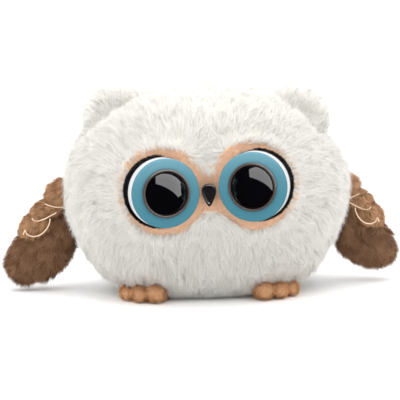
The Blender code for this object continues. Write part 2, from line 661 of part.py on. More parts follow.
def build_drive():
    """The motor pinion, the compound gear and the lifter with its three racks."""
    turn = math.pi + math.pi / PINION_TEETH
    at = (PINION_X, FRONT_LAYER[0], GEAR_Z)
    pinion = slab("motor_pinion", gear_outline(PINION_TEETH, PINION_X, GEAR_Z, turn), *FRONT_LAYER, at)
    combine(pinion, "UNION", rod_y("motor_shaft", PINION_X, GEAR_Z, 1.0, 3.4, 28.0, 16))
    paint(pinion, "amber")

    at = (GEAR_X, FRONT_LAYER[0], GEAR_Z)
    large = slab("compound_gear", gear_outline(LARGE_TEETH, GEAR_X, GEAR_Z, 0.0), *FRONT_LAYER, at)
    small = gear_outline(SMALL_TEETH, GEAR_X, GEAR_Z, math.pi)
    combine(large, "UNION", slab("compound_small", small, 7.0, LAYER[1]))
    combine(large, "DIFFERENCE", rod_y("compound_bore", GEAR_X, GEAR_Z, 1.58, -5.0, 20.0))
    paint(large, "amber")

    line = SHOULDER[0] - MODULE * HUB_TEETH / 2
    root = line - DEDENDUM * MODULE
    outer = rack_teeth(line, 1, SHOULDER[1], 61.0, 91.0)
    middle_line = GEAR_X - MODULE * SMALL_TEETH / 2
    middle = rack_teeth(middle_line, 1, GEAR_Z, 46.0, 72.0)
    inner = middle_line - DEDENDUM * MODULE
    outline = [(-4.0, 72.0), (-4.0, 46.0), (inner, 46.0), *middle, (inner, 72.0), (54.0, 72.0)]
    outline += [(54.0, 61.0), (root, 61.0), *outer, (root, 91.0), (54.0, 91.0), (54.0, 78.0)]
    outline += [(-54.0, 78.0), (-54.0, 91.0), (-root, 91.0)]
    outline += [(-x, z) for x, z in reversed(outer)]
    outline += [(-root, 61.0), (-54.0, 61.0), (-54.0, 72.0)]
    paint(slab("lifter", outline, *LAYER), "amber")


def build_wing(word, side):
    """One wing: the arm with its hub gear, the padded wing and its feather folds."""
    pivot = (side * SHOULDER[0], WING_Y, SHOULDER[1])
    hub = gear_outline(HUB_TEETH, *SHOULDER, math.pi)
    arm = slab(f"{word}_wing_arm", [(side * x, z) for x, z in hub], *LAYER, pivot)
    blade = slab(f"{word}_blade", [(side * x, z) for x, z in ARM_OUTLINE], LAYER[0] + 0.02, LAYER[1] - 0.02)
    combine(arm, "UNION", blade)
    combine(arm, "DIFFERENCE", rod_y(f"{word}_hub_bore", *pivot[::2], 2.6, 0.0, 25.0))
    paint(arm, "ivory")

    wing = wing_pad(f"{word}_wing_pad", side, 0.0, pivot)
    room = [(side * x, z) for x, z in grown(ARM_OUTLINE, 0.4)]
    combine(wing, "DIFFERENCE", slab(f"{word}_arm_room", room, LAYER[0] - GAP, LAYER[1] + GAP))
    paint(wing, "brown")
    for level, centre, radii in FOLDS:
        name = f"{word}_fold_{level}"
        fold = ellipsoid(name, (side * centre[0], *centre[1:]), radii, side * 40.0, 12, 8)
        combine(fold, "DIFFERENCE", wing_pad(f"{name}_cut", side, GAP, (0.0, 0.0, 0.0)))
        paint(fold, "brown")


def wing_pad(name, side, spare, origin):
    """The padded wing as a pillow round its outline, grown by the spare."""
    outline = np.array(smooth_outline(WING_OUTLINE, 32))
    middle = outline.mean(axis=0)
    rings = []
    for lean in (-80.0, -58.0, -32.0, 0.0, 32.0, 58.0, 80.0):
        angle = math.radians(lean)
        scale = 0.74 + 0.26 * math.cos(angle) + spare / 20.0
        depth = WING_Y + (8.0 + spare) * math.sin(angle)
        ring = middle + (outline - middle) * scale
        rings.append([(side * x, depth, z) for x, z in ring])
    return add_mesh(name, *loft(rings), origin=origin)


def main():
    """Build every piece of the pet."""
    clear_scene()
    build_soft_body()
    build_beak()
    build_eye_frame()
    build_shell()
    build_base()
    build_electronics()
    build_chassis()
    build_drive()
    for word, side in SIDES:
        build_eye(word, side)
        build_wing(word, side)


main()
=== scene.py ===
"""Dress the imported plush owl: long white pile, drum eyes, padded brown wings and velvety feet.

The pet faces -Y and stands on z = 0. Sizes are in metres. Each sub-assembly is a class that builds
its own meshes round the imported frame, and main() builds them in order.
"""

from __future__ import annotations

import json
import logging
import math
from dataclasses import dataclass
from enum import Enum
from typing import Callable, Sequence

import bpy
import numpy as np
from mathutils import Matrix, Vector, kdtree

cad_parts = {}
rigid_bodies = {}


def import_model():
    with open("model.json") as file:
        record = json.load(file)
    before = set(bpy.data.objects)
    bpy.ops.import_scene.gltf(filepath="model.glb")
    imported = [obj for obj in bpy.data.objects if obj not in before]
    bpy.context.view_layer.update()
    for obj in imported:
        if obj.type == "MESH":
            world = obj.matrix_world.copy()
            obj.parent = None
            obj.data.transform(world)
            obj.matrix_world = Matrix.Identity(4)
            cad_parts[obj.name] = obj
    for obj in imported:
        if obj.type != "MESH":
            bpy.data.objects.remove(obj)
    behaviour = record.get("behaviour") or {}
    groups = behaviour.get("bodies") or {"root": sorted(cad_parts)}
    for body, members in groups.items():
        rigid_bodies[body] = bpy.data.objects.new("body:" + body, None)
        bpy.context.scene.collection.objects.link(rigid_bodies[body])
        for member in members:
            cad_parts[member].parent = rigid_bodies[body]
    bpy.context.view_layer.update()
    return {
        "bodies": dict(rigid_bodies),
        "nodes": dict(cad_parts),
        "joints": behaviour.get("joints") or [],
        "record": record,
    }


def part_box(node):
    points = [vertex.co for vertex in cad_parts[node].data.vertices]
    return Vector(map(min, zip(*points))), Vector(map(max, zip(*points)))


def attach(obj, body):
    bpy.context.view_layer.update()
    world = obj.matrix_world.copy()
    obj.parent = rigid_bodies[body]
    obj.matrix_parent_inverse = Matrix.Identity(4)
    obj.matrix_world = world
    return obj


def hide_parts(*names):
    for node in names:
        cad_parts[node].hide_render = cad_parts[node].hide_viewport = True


LOG = logging.getLogger("plush_owl")
MM = 0.001
Colour = tuple[float, float, float]
Array = np.ndarray


class Side(Enum):
    """The pet's own right and left, as signs along X."""

    RIGHT = -1
    LEFT = 1

    @property
    def word(self) -> str:
        """The side's name as the frame spells it."""
        return self.name.lower()


# ---------------------------------------------------------------- shader nodes


class Value:
    """A number socket that takes part in Python arithmetic by adding Math nodes."""

    def __init__(self, graph: "Graph", socket: bpy.types.NodeSocket) -> None:
        """Wrap a socket of a graph."""
        self.graph = graph
        self.socket = socket

    def _math(self, operation: str, first: object, second: object) -> "Value":
        """Add one Math node and wrap its result."""
        node = self.graph.node("ShaderNodeMath", {"operation": operation}, {0: first, 1: second})
        return Value(self.graph, node.outputs[0])

    def __add__(self, other: object) -> "Value":
        """Sum."""
        return self._math("ADD", self, other)

    __radd__ = __add__

    def __mul__(self, other: object) -> "Value":
        """Product."""
        return self._math("MULTIPLY", self, other)

    __rmul__ = __mul__

    def __sub__(self, other: object) -> "Value":
        """Difference."""
        return self._math("SUBTRACT", self, other)

    def __rsub__(self, other: object) -> "Value":
        """Difference with the socket second."""
        return self._math("SUBTRACT", other, self)

    def __pow__(self, other: object) -> "Value":
        """Power."""
        return self._math("POWER", self, other)


class Graph:
    """The node tree of one material, with its Principled shader ready to be fed."""

    def __init__(self, name: str) -> None:
        """Make the material and empty its tree but for the shader and the output."""
        self.material = bpy.data.materials.new(name)
        self.material.use_nodes = True
        self.tree = self.material.node_tree
        self.shader = self.tree.nodes["Principled BSDF"]

    def node(self, kind: str, settings: dict | None = None, feeds: dict | None = None) -> bpy.types.Node:
        """Add any node.

        Args:
            kind: The node's type.
            settings: Its own properties; "stops" holds a ramp's (place, colour) pairs.
            feeds: Values, sockets or Values for its inputs, by name or number.

        Returns:
            The node.
        """
        node = self.tree.nodes.new(kind)
        for key, setting in (settings or {}).items():
            if key == "stops":
                ramp = node.color_ramp
                while len(ramp.elements) < len(setting):
                    ramp.elements.new(1.0)
                for element, (place, colour) in zip(ramp.elements, setting):
                    element.position = place
                    element.color = (*colour, 1.0)
            else:
                setattr(node, key, setting)
        for key, given in (feeds or {}).items():
            self.feed(node.inputs[key], given)
        return node

    def feed(self, socket: bpy.types.NodeSocket, given: object) -> None:
        """Link a socket or set its value."""
        if isinstance(given, Value):
            given = given.socket
        if isinstance(given, bpy.types.NodeSocket):
            self.tree.links.new(given, socket)
        elif isinstance(given, tuple) and socket.type == "RGBA" and len(given) == 3:
            socket.default_value = (*given, 1.0)
        else:
            socket.default_value = given

    def value(self, node: bpy.types.Node, output: int | str = 0) -> Value:
        """Wrap one output of a node."""
        return Value(self, node.outputs[output])

    def noise(self, scale: float, detail: float = 2.0, stretch: Colour = (1.0, 1.0, 1.0)) -> Value:
        """A noise on Object coordinates, with its scale per metre."""
        place = self.node("ShaderNodeTexCoord").outputs["Object"]
        turned = self.node("ShaderNodeMapping", None, {"Vector": place, "Scale": stretch}).outputs[0]
        made = self.node("ShaderNodeTexNoise", None, {"Vector": turned, "Scale": scale, "Detail": detail})
        return self.value(made)

    def mix(self, factor: object, first: object, second: object, blend: str = "MIX") -> bpy.types.NodeSocket:
        """Mix two colours."""
        settings = {"data_type": "RGBA", "blend_type": blend}
        node = self.node("ShaderNodeMix", settings, {0: factor, 6: first, 7: second})
        return node.outputs[2]

    def bump(self, height: Value, strength: float, distance: float) -> None:
        """Feed a bump to the shader's normal."""
        feeds = {"Height": height, "Strength": strength, "Distance": distance}
        self.feed(self.shader.inputs["Normal"], self.node("ShaderNodeBump", None, feeds).outputs[0])

    def finish(self, **constants: object) -> bpy.types.Material:
        """Set constants on the shader, named with underscores for spaces, and give the material."""
        for key, given in constants.items():
            self.feed(self.shader.inputs[key.replace("_", " ")], given)
        return self.material


# ---------------------------------------------------------------- finishes


@dataclass(frozen=True)
class PileFinish:
    """Strands of pile, darker at the root as painted shade, with each strand and tuft a little different."""

    name: str
    root: Colour
    tip: Colour
    shade: Colour
    through: float = 0.42
    roughness: float = 0.8

    def make(self) -> bpy.types.Material:
        """Build the material."""
        graph = Graph(self.name)
        read = graph.node("ShaderNodeAttribute", {"attribute_name": "strand"})
        parts = graph.node("ShaderNodeSeparateColor", None, {"Color": read.outputs["Color"]})
        along, strand, tuft = (graph.value(parts, number) for number in range(3))
        # Painted shade: the colour darkens from the tip to the root, standing in for the shade deep in the pile.
        body = graph.mix(along, self.root, self.tip)
        worn = graph.mix(strand * 0.45 + tuft * 0.55, self.shade, (1.0, 1.0, 1.0))
        colour = graph.mix(1.0, body, worn, "MULTIPLY")
        graph.feed(graph.shader.inputs["Base Color"], colour)
        thin = graph.node("ShaderNodeBsdfTranslucent", None, {"Color": colour})
        both = graph.node("ShaderNodeMixShader", None,
                          {0: self.through, 1: graph.shader.outputs[0], 2: thin.outputs[0]})
        graph.feed(graph.tree.nodes["Material Output"].inputs["Surface"], both.outputs[0])
        return graph.finish(Roughness=self.roughness, Specular_IOR_Level=0.15)


@dataclass(frozen=True)
class VelvetFinish:
    """Short dense pile or knitted backing: soft mottling, a fine nap and a sheen."""

    name: str
    colour: Colour
    shade: Colour
    nap: float = 0.35
    sheen: float = 0.4

    def make(self) -> bpy.types.Material:
        """Build the material."""
        graph = Graph(self.name)
        patch = graph.noise(160.0, 3.0)
        nap = graph.noise(1900.0, 2.0)
        tone = patch * 0.7 + nap * 0.3
        graph.feed(graph.shader.inputs["Base Color"], graph.mix(tone, self.shade, self.colour))
        graph.bump(nap + graph.noise(520.0, 2.0) * 0.6, self.nap, 0.0006)
        return graph.finish(Roughness=0.9, Sheen_Weight=self.sheen, Specular_IOR_Level=0.15)


@dataclass(frozen=True)
class MouldedFinish:
    """Moulded plastic, board or wrap: faint clouding and a fine skin texture."""

    name: str
    colour: Colour
    shade: Colour
    roughness: float = 0.45
    grain: float = 0.05
    coat: float = 0.0
    specular: float = 0.5

    def make(self) -> bpy.types.Material:
        """Build the material."""
        graph = Graph(self.name)
        cloud = graph.noise(70.0, 3.0)
        graph.feed(graph.shader.inputs["Base Color"], graph.mix(cloud, self.shade, self.colour))
        skin = graph.noise(2600.0, 1.0)
        graph.feed(graph.shader.inputs["Roughness"], cloud * (self.roughness * 0.2) + self.roughness * 0.9)
        graph.bump(skin, self.grain, 0.0003)
        return graph.finish(Coat_Weight=self.coat, Specular_IOR_Level=self.specular)


@dataclass(frozen=True)
class MetalFinish:
    """Plated or turned steel with fine brushing."""

    name: str
    colour: Colour
    shade: Colour
    roughness: float = 0.32

    def make(self) -> bpy.types.Material:
        """Build the material."""
        graph = Graph(self.name)
        brush = graph.noise(900.0, 2.0, (1.0, 0.12, 1.0))
        graph.feed(graph.shader.inputs["Base Color"], graph.mix(brush, self.shade, self.colour))
        graph.feed(graph.shader.inputs["Roughness"], brush * 0.16 + self.roughness)
        graph.bump(brush, 0.06, 0.0002)
        return graph.finish(Metallic=1.0)


@dataclass(frozen=True)
class IrisFinish:
    """The painted iris plate: even colour with painted light making it lighter towards the top, and a fine fleck."""

    name: str
    colour: Colour
    light: Colour
    centre: tuple[float, float, float]
    radius: float

    def make(self) -> bpy.types.Material:
        """Build the material."""
        graph = Graph(self.name)
        place = graph.node("ShaderNodeTexCoord").outputs["Object"]
        height = graph.value(graph.node("ShaderNodeSeparateXYZ", None, {0: place}), "Z")
        # Painted light: the colour runs from colour at the bottom to light at the top, standing in for light falling
        # from above.
        rise = (height - (self.centre[2] - self.radius)) * (0.5 / self.radius)
        fleck = graph.noise(1500.0, 2.0)
        tone = (rise ** 3.0) * 0.8 + fleck * 0.12
        graph.feed(graph.shader.inputs["Base Color"], graph.mix(tone, self.colour, self.light))
        graph.bump(fleck, 0.04, 0.0002)
        return graph.finish(Roughness=0.5, Specular_IOR_Level=0.03)


class Finishes:
    """Every finish of the pet, each made once."""

    # In every pile the root colour is darker than the tip: painted shade deep in the pile.
    WHITE_PILE = PileFinish("white_pile", (0.88, 0.865, 0.83), (0.965, 0.958, 0.935), (0.94, 0.933, 0.915))
    EAR_PILE = PileFinish("ear_pile", (0.89, 0.875, 0.835), (0.97, 0.962, 0.94), (0.94, 0.933, 0.915))
    BROWN_PILE = PileFinish("brown_pile", (0.13, 0.055, 0.025), (0.46, 0.255, 0.14), (0.34, 0.30, 0.27), 0.2)
    TIER_PILE = PileFinish("tier_pile", (0.26, 0.12, 0.055), (0.82, 0.50, 0.28), (0.50, 0.44, 0.39), 0.25)
    PEACH_PILE = PileFinish("peach_pile", (0.88, 0.56, 0.37), (0.95, 0.71, 0.52), (0.93, 0.89, 0.85), 0.25)
    TAN_PILE = PileFinish("tan_pile", (0.74, 0.42, 0.20), (0.95, 0.64, 0.36), (0.88, 0.82, 0.76), 0.3)
    LASH_PILE = PileFinish("lash_pile", (0.006, 0.006, 0.007), (0.03, 0.03, 0.034), (0.5, 0.5, 0.5), 0.1)
    WHITE_CLOTH = VelvetFinish("white_cloth", (0.93, 0.92, 0.89), (0.86, 0.845, 0.80))
    PEACH_CLOTH = VelvetFinish("peach_cloth", (0.93, 0.66, 0.46), (0.85, 0.56, 0.38))
    BROWN_CLOTH = VelvetFinish("brown_cloth", (0.26, 0.125, 0.062), (0.16, 0.072, 0.034))
    TAN_CLOTH = VelvetFinish("tan_cloth", (0.70, 0.42, 0.24), (0.54, 0.30, 0.16))
    PIPING = VelvetFinish("piping_cord", (0.86, 0.66, 0.48), (0.72, 0.52, 0.36), 0.2)
    WADDING = VelvetFinish("wadding_fibre", (0.86, 0.86, 0.84), (0.70, 0.70, 0.68), 0.6, 0.1)
    DOME = MouldedFinish("dome_gloss", (0.002, 0.002, 0.003), (0.001, 0.001, 0.0015), 0.05, 0.0, 0.0, 0.35)
    BEAK = MouldedFinish("beak_gloss", (0.010, 0.009, 0.011), (0.006, 0.005, 0.006), 0.22, 0.02, 0.3, 0.5)
    BEZEL = MouldedFinish("bezel_plastic", (0.085, 0.065, 0.058), (0.06, 0.045, 0.04), 0.28, 0.02)
    DRUM = MouldedFinish("drum_plastic", (0.62, 0.62, 0.63), (0.56, 0.56, 0.57), 0.4, 0.02, 0.0, 0.2)
    LASH = MouldedFinish("lash_bristle", (0.012, 0.012, 0.014), (0.006, 0.006, 0.007), 0.6, 0.3)
    SHELL = MouldedFinish("shell_plastic", (0.74, 0.72, 0.66), (0.68, 0.66, 0.60))
    BASE = MouldedFinish("base_plastic", (0.30, 0.31, 0.32), (0.25, 0.26, 0.27), 0.5, 0.12)
    GEAR = MouldedFinish("gear_plastic", (0.62, 0.40, 0.10), (0.52, 0.33, 0.08), 0.4)
    BOARD = MouldedFinish("board_lacquer", (0.03, 0.20, 0.09), (0.02, 0.14, 0.06), 0.3, 0.1)
    CELL = MouldedFinish("cell_wrap", (0.04, 0.045, 0.06), (0.03, 0.032, 0.045), 0.3)
    CONE = MouldedFinish("cone_paper", (0.03, 0.03, 0.032), (0.02, 0.02, 0.022), 0.8, 0.4)
    STEEL = MetalFinish("plated_steel", (0.66, 0.66, 0.68), (0.50, 0.50, 0.52))

    _made: dict[str, bpy.types.Material] = {}

    @classmethod
    def get(cls, finish: object) -> bpy.types.Material:
        """The material of a finish, made the first time it is asked for."""
        if finish.name not in cls._made:
            cls._made[finish.name] = finish.make()
        return cls._made[finish.name]


# ---------------------------------------------------------------- mesh helpers


def select_none() -> None:
    """Deselect everything."""
    for other in bpy.context.selected_objects:
        other.select_set(False)


def select_only(obj: bpy.types.Object) -> None:
    """Make one object the only one selected, and active."""
    select_none()
    bpy.context.view_layer.objects.active = obj
    obj.select_set(True)


def mesh_object(name: str, points: Sequence, edges: Sequence, faces: Sequence) -> bpy.types.Object:
    """Add an object at the origin from points, edges and faces in metres."""
    mesh = bpy.data.meshes.new(name)
    mesh.from_pydata([tuple(map(float, point)) for point in points], edges, faces)
    mesh.update()
    obj = bpy.data.objects.new(name, mesh)
    bpy.context.scene.collection.objects.link(obj)
    return obj


def tidy_mesh(obj: bpy.types.Object, merge: float = 1e-6) -> None:
    """Merge doubles and point every face outwards."""
    select_only(obj)
    bpy.ops.object.mode_set(mode="EDIT")
    bpy.ops.mesh.select_all(action="SELECT")
    bpy.ops.mesh.remove_doubles(threshold=merge)
    bpy.ops.mesh.normals_make_consistent(inside=False)
    bpy.ops.object.mode_set(mode="OBJECT")


def apply_modifier(obj: bpy.types.Object, kind: str, **settings: object) -> None:
    """Add a modifier with its settings and apply it."""
    select_only(obj)
    modifier = obj.modifiers.new(kind.lower(), kind)
    for key, setting in settings.items():
        setattr(modifier, key, setting)
    bpy.ops.object.modifier_apply(modifier=modifier.name)


def subdivide(obj: bpy.types.Object, levels: int) -> None:
    """Smooth an object with Subdivision Surface and apply it."""
    apply_modifier(obj, "SUBSURF", levels=levels, render_levels=levels)


def smooth(obj: bpy.types.Object, angle: float = 40.0) -> None:
    """Shade an object smooth but for its sharp edges."""
    select_only(obj)
    bpy.ops.object.shade_smooth_by_angle(angle=math.radians(angle))


def dress(obj: bpy.types.Object, finish: object, slot: str, body: str, *nodes: str) -> bpy.types.Object:
    """Give a new piece its finish, the body it rides on and the nodes it stands for."""
    obj.data.materials.clear()
    obj.data.materials.append(Finishes.get(finish))
    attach(obj, body)
    if nodes:
        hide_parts(*nodes)
    LOG.info("%s on %s: %d faces", obj.name, body, len(obj.data.polygons))
    return obj


def spin_outline(name: str, outline: Sequence, centre: Vector, axis: Vector, steps: int = 96) -> bpy.types.Object:
    """Spin a (radius, distance) outline round an axis.

    Args:
        name: The piece's name.
        outline: Closed outline in millimetres; ends that lie on the axis close at a pole.
        centre: A point on the axis, from which distances run.
        axis: The direction of the axis.
        steps: Facets round the axis.

    Returns:
        The closed piece.
    """
    side = Vector((0.0, 0.0, 1.0)).cross(axis).normalized()
    points = [centre + side * radius * MM + axis * distance * MM for radius, distance in outline]
    open_ended = outline[0][0] == 0.0 and outline[-1][0] == 0.0
    edges = [(k, k + 1) for k in range(len(points) - 1)]
    if not open_ended:
        edges.append((len(points) - 1, 0))
    obj = mesh_object(name, points, edges, [])
    select_only(obj)
    bpy.ops.object.mode_set(mode="EDIT")
    bpy.ops.mesh.select_all(action="SELECT")
    bpy.ops.mesh.spin(steps=steps, angle=2 * math.pi, center=centre, axis=axis)
    bpy.ops.object.mode_set(mode="OBJECT")
    tidy_mesh(obj)
    smooth(obj)
    return obj


def grid_skin(name: str, rows: Array) -> bpy.types.Object:
    """Skin a stack of rings, each a closed row of points, and cap both ends."""
    height, count = rows.shape[:2]
    faces = []
    for row in range(height - 1):
        for first in range(count):
            second = (first + 1) % count
            faces.append((row * count + first, row * count + second,
                          (row + 1) * count + second, (row + 1) * count + first))
    faces.append(tuple(range(count)))
    faces.append(tuple(range((height - 1) * count, height * count)))
    obj = mesh_object(name, rows.reshape(-1, 3), [], faces)
    tidy_mesh(obj)
    return obj


def smoothstep(low: float, high: float, value: Array) -> Array:
    """A soft step from 0 at low to 1 at high."""
    part = np.clip((value - low) / (high - low), 0.0, 1.0)
    return part * part * (3.0 - 2.0 * part)


def unit(vectors: Array) -> Array:
    """Vectors made one long."""
    return vectors / np.maximum(np.linalg.norm(vectors, axis=-1, keepdims=True), 1e-12)


def waves(points: Array, size: float, seed: int, count: int = 5) -> Array:
    """A smooth wandering number from -1 to 1 over space, with features of the size given."""
    rng = np.random.default_rng(seed)
    total = np.zeros(len(points))
    for _ in range(count):
        way = unit(rng.normal(size=3)) * (2 * math.pi / (size * rng.uniform(0.7, 1.5)))
        total += np.sin(points @ way + rng.uniform(0, 2 * math.pi))
    return total / count * 1.4


# ---------------------------------------------------------------- pile


@dataclass(frozen=True)
class Pile:
    """How one patch of pile stands.

    Lengths and widths are in millimetres, and angles in degrees off the cloth.
    """

    count: int
    length: float
    width: float = 0.34
    rise: tuple[float, float] = (46.0, 6.0)
    sink: float = 1.7
    tuft: float = 5.0
    pull: float = 0.20
    wander: float = 9.0
    uneven: float = 0.12
    soft: float = 0.84
    seed: int = 1


@dataclass
class Cloth:
    """The triangles of a surface that pile grows from."""

    points: Array
    normals: Array
    corners: Array

    @classmethod
    def of(cls, obj: bpy.types.Object) -> "Cloth":
        """Read an object's mesh."""
        mesh = obj.data
        mesh.calc_loop_triangles()
        points = np.empty(len(mesh.vertices) * 3)
        normals = np.empty(len(mesh.vertices) * 3)
        corners = np.empty(len(mesh.loop_triangles) * 3, dtype=np.int64)
        mesh.vertices.foreach_get("co", points)
        mesh.vertex_normals.foreach_get("vector", normals)
        mesh.loop_triangles.foreach_get("vertices", corners)
        return cls(points.reshape(-1, 3), normals.reshape(-1, 3), corners.reshape(-1, 3))

    def scatter(self, count: int, keep: Callable[[Array], Array], rng: np.random.Generator) -> tuple[Array, Array]:
        """Places over the cloth, evenly by area, where keep gives a share from 0 to 1.

        Args:
            count: How many places.
            keep: Gives each point's share of pile.
            rng: The seeded source of chance.

        Returns:
            The places and the cloth's normals there.
        """
        first, second, third = (self.points[self.corners[:, k]] for k in range(3))
        area = np.linalg.norm(np.cross(second - first, third - first), axis=1)
        share = area * keep((first + second + third) / 3.0)
        share = share / share.sum()
        order = np.minimum(np.searchsorted(np.cumsum(share), (np.arange(count) + rng.random(count)) / count),
                           len(share) - 1)
        one, two = rng.random(count), rng.random(count)
        over = one + two > 1.0
        one[over], two[over] = 1.0 - one[over], 1.0 - two[over]
        mix = np.stack([1.0 - one - two, one, two], axis=1)[:, :, None]
        faces = self.corners[order]
        places = (self.points[faces] * mix).sum(axis=1)
        normals = unit((self.normals[faces] * mix).sum(axis=1))
        kept = keep(places) > rng.random(count) * 0.5
        return places[kept], normals[kept]


def across(vectors: Array, normals: Array) -> Array:
    """Vectors laid into the cloth and made one long."""
    return unit(vectors - (vectors * normals).sum(axis=1, keepdims=True) * normals)


def turn_about(vectors: Array, normals: Array, angles: Array) -> Array:
    """Vectors that lie in the cloth, turned about its normals."""
    return vectors * np.cos(angles)[:, None] + np.cross(normals, vectors) * np.sin(angles)[:, None]


class PileMaker:
    """Grows pile as fine tapering ribbons, gathered into tufts."""

    STEPS = 3
    SPREAD = (0.85, 1.0, 0.72)
    FLOOR = 0.0003

    def __init__(self, pile: Pile) -> None:
        """Take the pile's settings and seed its chance."""
        self.pile = pile
        self.rng = np.random.default_rng(pile.seed)

    def tufts(self, places: Array) -> tuple[Array, Array]:
        """Choose tuft centres among the places and give each place its centre and its number."""
        step = self.pile.tuft * MM
        cells = np.floor(places / step + self.rng.random(3)).astype(np.int64)
        _, chosen = np.unique(cells, axis=0, return_index=True)
        tree = kdtree.KDTree(len(chosen))
        for number, index in enumerate(chosen):
            tree.insert(places[index], number)
        tree.balance()
        nearest = np.array([tree.find(place)[1] for place in places])
        return places[chosen][nearest], nearest

    def grow(self, name: str, cloth: Cloth, keep: Callable[[Array], Array],
             flow: Callable[[Array], Array], length: Callable[[Array], Array] | None = None,
             raised: Callable[[Array], Array] | None = None) -> bpy.types.Object:
        """Grow a patch of pile.

        Args:
            name: The patch's name.
            cloth: The surface that it grows from.
            keep: Each point's share of pile.
            flow: Which way the pile runs at each point.
            length: Each point's share of the full length.
            raised: How far the roots are lifted off the cloth at each point, in metres.

        Returns:
            The patch, as one mesh.
        """
        pile, rng = self.pile, self.rng
        places, normals = cloth.scatter(pile.count, keep, rng)
        total = len(places)
        centres, tuft = self.tufts(places)
        tufts = tuft.max() + 1
        tuft_turn = rng.normal(0.0, pile.wander * 1.2, tufts)[tuft]
        tuft_long = rng.normal(1.0, pile.uneven * 0.7, tufts)[tuft]
        tuft_rise = rng.normal(0.0, 3.4, tufts)[tuft]
        tuft_tone = rng.random(tufts)[tuft]
        lanes = across(flow(places), normals)
        lanes = turn_about(lanes, normals, np.radians(tuft_turn + rng.normal(0.0, pile.wander, total)))
        reach = pile.length * MM * np.clip(tuft_long + rng.normal(0.0, pile.uneven, total), 0.4, 1.6)
        if length is not None:
            reach = reach * length(places)
        curl = np.radians(rng.normal(0.0, 14.0, total))
        lift = tuft_rise + rng.normal(0.0, 7.0, total)
        offset = places - centres
        path = [places - normals * pile.sink * MM]
        if raised is not None:
            path[0] = path[0] + normals * raised(places)[:, None]
        ways = []
        for step in range(self.STEPS):
            share = step / (self.STEPS - 1)
            angle = np.radians(pile.rise[0] * (1 - share) ** 1.3 + pile.rise[1] * share + lift)[:, None]
            lane = turn_about(lanes, normals, curl * step)
            way = lane * np.cos(angle) + normals * np.sin(angle)
            ways.append(way)
            path.append(path[-1] + way * (reach / self.STEPS)[:, None])
        for step in range(1, self.STEPS + 1):
            path[step] = path[step] - offset * pile.pull * (step / self.STEPS) ** 1.4
        twist = np.radians(rng.normal(0.0, 32.0, total))[:, None]
        points, sides = [], []
        thick = (pile.width * MM * rng.uniform(0.75, 1.25, total) / 2)[:, None]
        for step in range(self.STEPS):
            way = ways[step]
            flat = unit(np.cross(normals, way))
            side = flat * np.cos(twist) + np.cross(way, flat) * np.sin(twist)
            points += [path[step] - side * thick * self.SPREAD[step], path[step] + side * thick * self.SPREAD[step]]
            sides.append(np.cross(way, side))
        points.append(path[self.STEPS])
        verts = np.stack(points, axis=1)
        verts[:, :, 2] = np.maximum(verts[:, :, 2], self.FLOOR)
        grain = rng.normal(size=(total, 3)) * 0.16
        shade = [unit(normals * pile.soft + sides[step] * (1 - pile.soft) + grain + ways[step] * 0.10)
                 for step in (0, 0, 1, 1, 2, 2, 2)]
        # along runs from 0 at the root to 1 at the tip; the pile finishes use it to paint shade towards the root.
        along = np.array([0.0, 0.0, 0.45, 0.45, 0.85, 0.85, 1.0])
        tint = np.empty((total, 7, 4))
        tint[:, :, 0] = along
        tint[:, :, 1] = rng.random(total)[:, None]
        tint[:, :, 2] = tuft_tone[:, None]
        tint[:, :, 3] = 1.0
        return self.mesh(name, verts, np.stack(shade, axis=1), tint)

    @staticmethod
    def mesh(name: str, verts: Array, shade: Array, tint: Array) -> bpy.types.Object:
        """Make the ribbons one mesh, with the cloth's shading and a tint at each point."""
        total = len(verts)
        pattern = np.array([1, 0, 2, 3, 3, 2, 4, 5, 5, 4, 6])
        sizes = np.array([4, 4, 3])
        loops = (np.arange(total)[:, None] * 7 + pattern).ravel()
        starts = (np.arange(total)[:, None] * 11 + np.array([0, 4, 8])).ravel()
        mesh = bpy.data.meshes.new(name)
        mesh.vertices.add(total * 7)
        mesh.vertices.foreach_set("co", verts.ravel())
        mesh.loops.add(total * 11)
        mesh.loops.foreach_set("vertex_index", loops)
        mesh.polygons.add(total * 3)
        mesh.polygons.foreach_set("loop_start", starts)
        mesh.polygons.foreach_set("loop_total", np.tile(sizes, total))
        mesh.update(calc_edges=True)
        layer = mesh.color_attributes.new("strand", "FLOAT_COLOR", "POINT")
        layer.data.foreach_set("color", tint.ravel())
        mesh.polygons.foreach_set("use_smooth", np.ones(total * 3, dtype=bool))
        mesh.normals_split_custom_set_from_vertices(shade.reshape(-1, 3))
        obj = bpy.data.objects.new(name, mesh)
        bpy.context.scene.collection.objects.link(obj)
        return obj


def everywhere(points: Array) -> Array:
    """A full share of pile at every point."""
    return np.ones(len(points))


# ---------------------------------------------------------------- the body


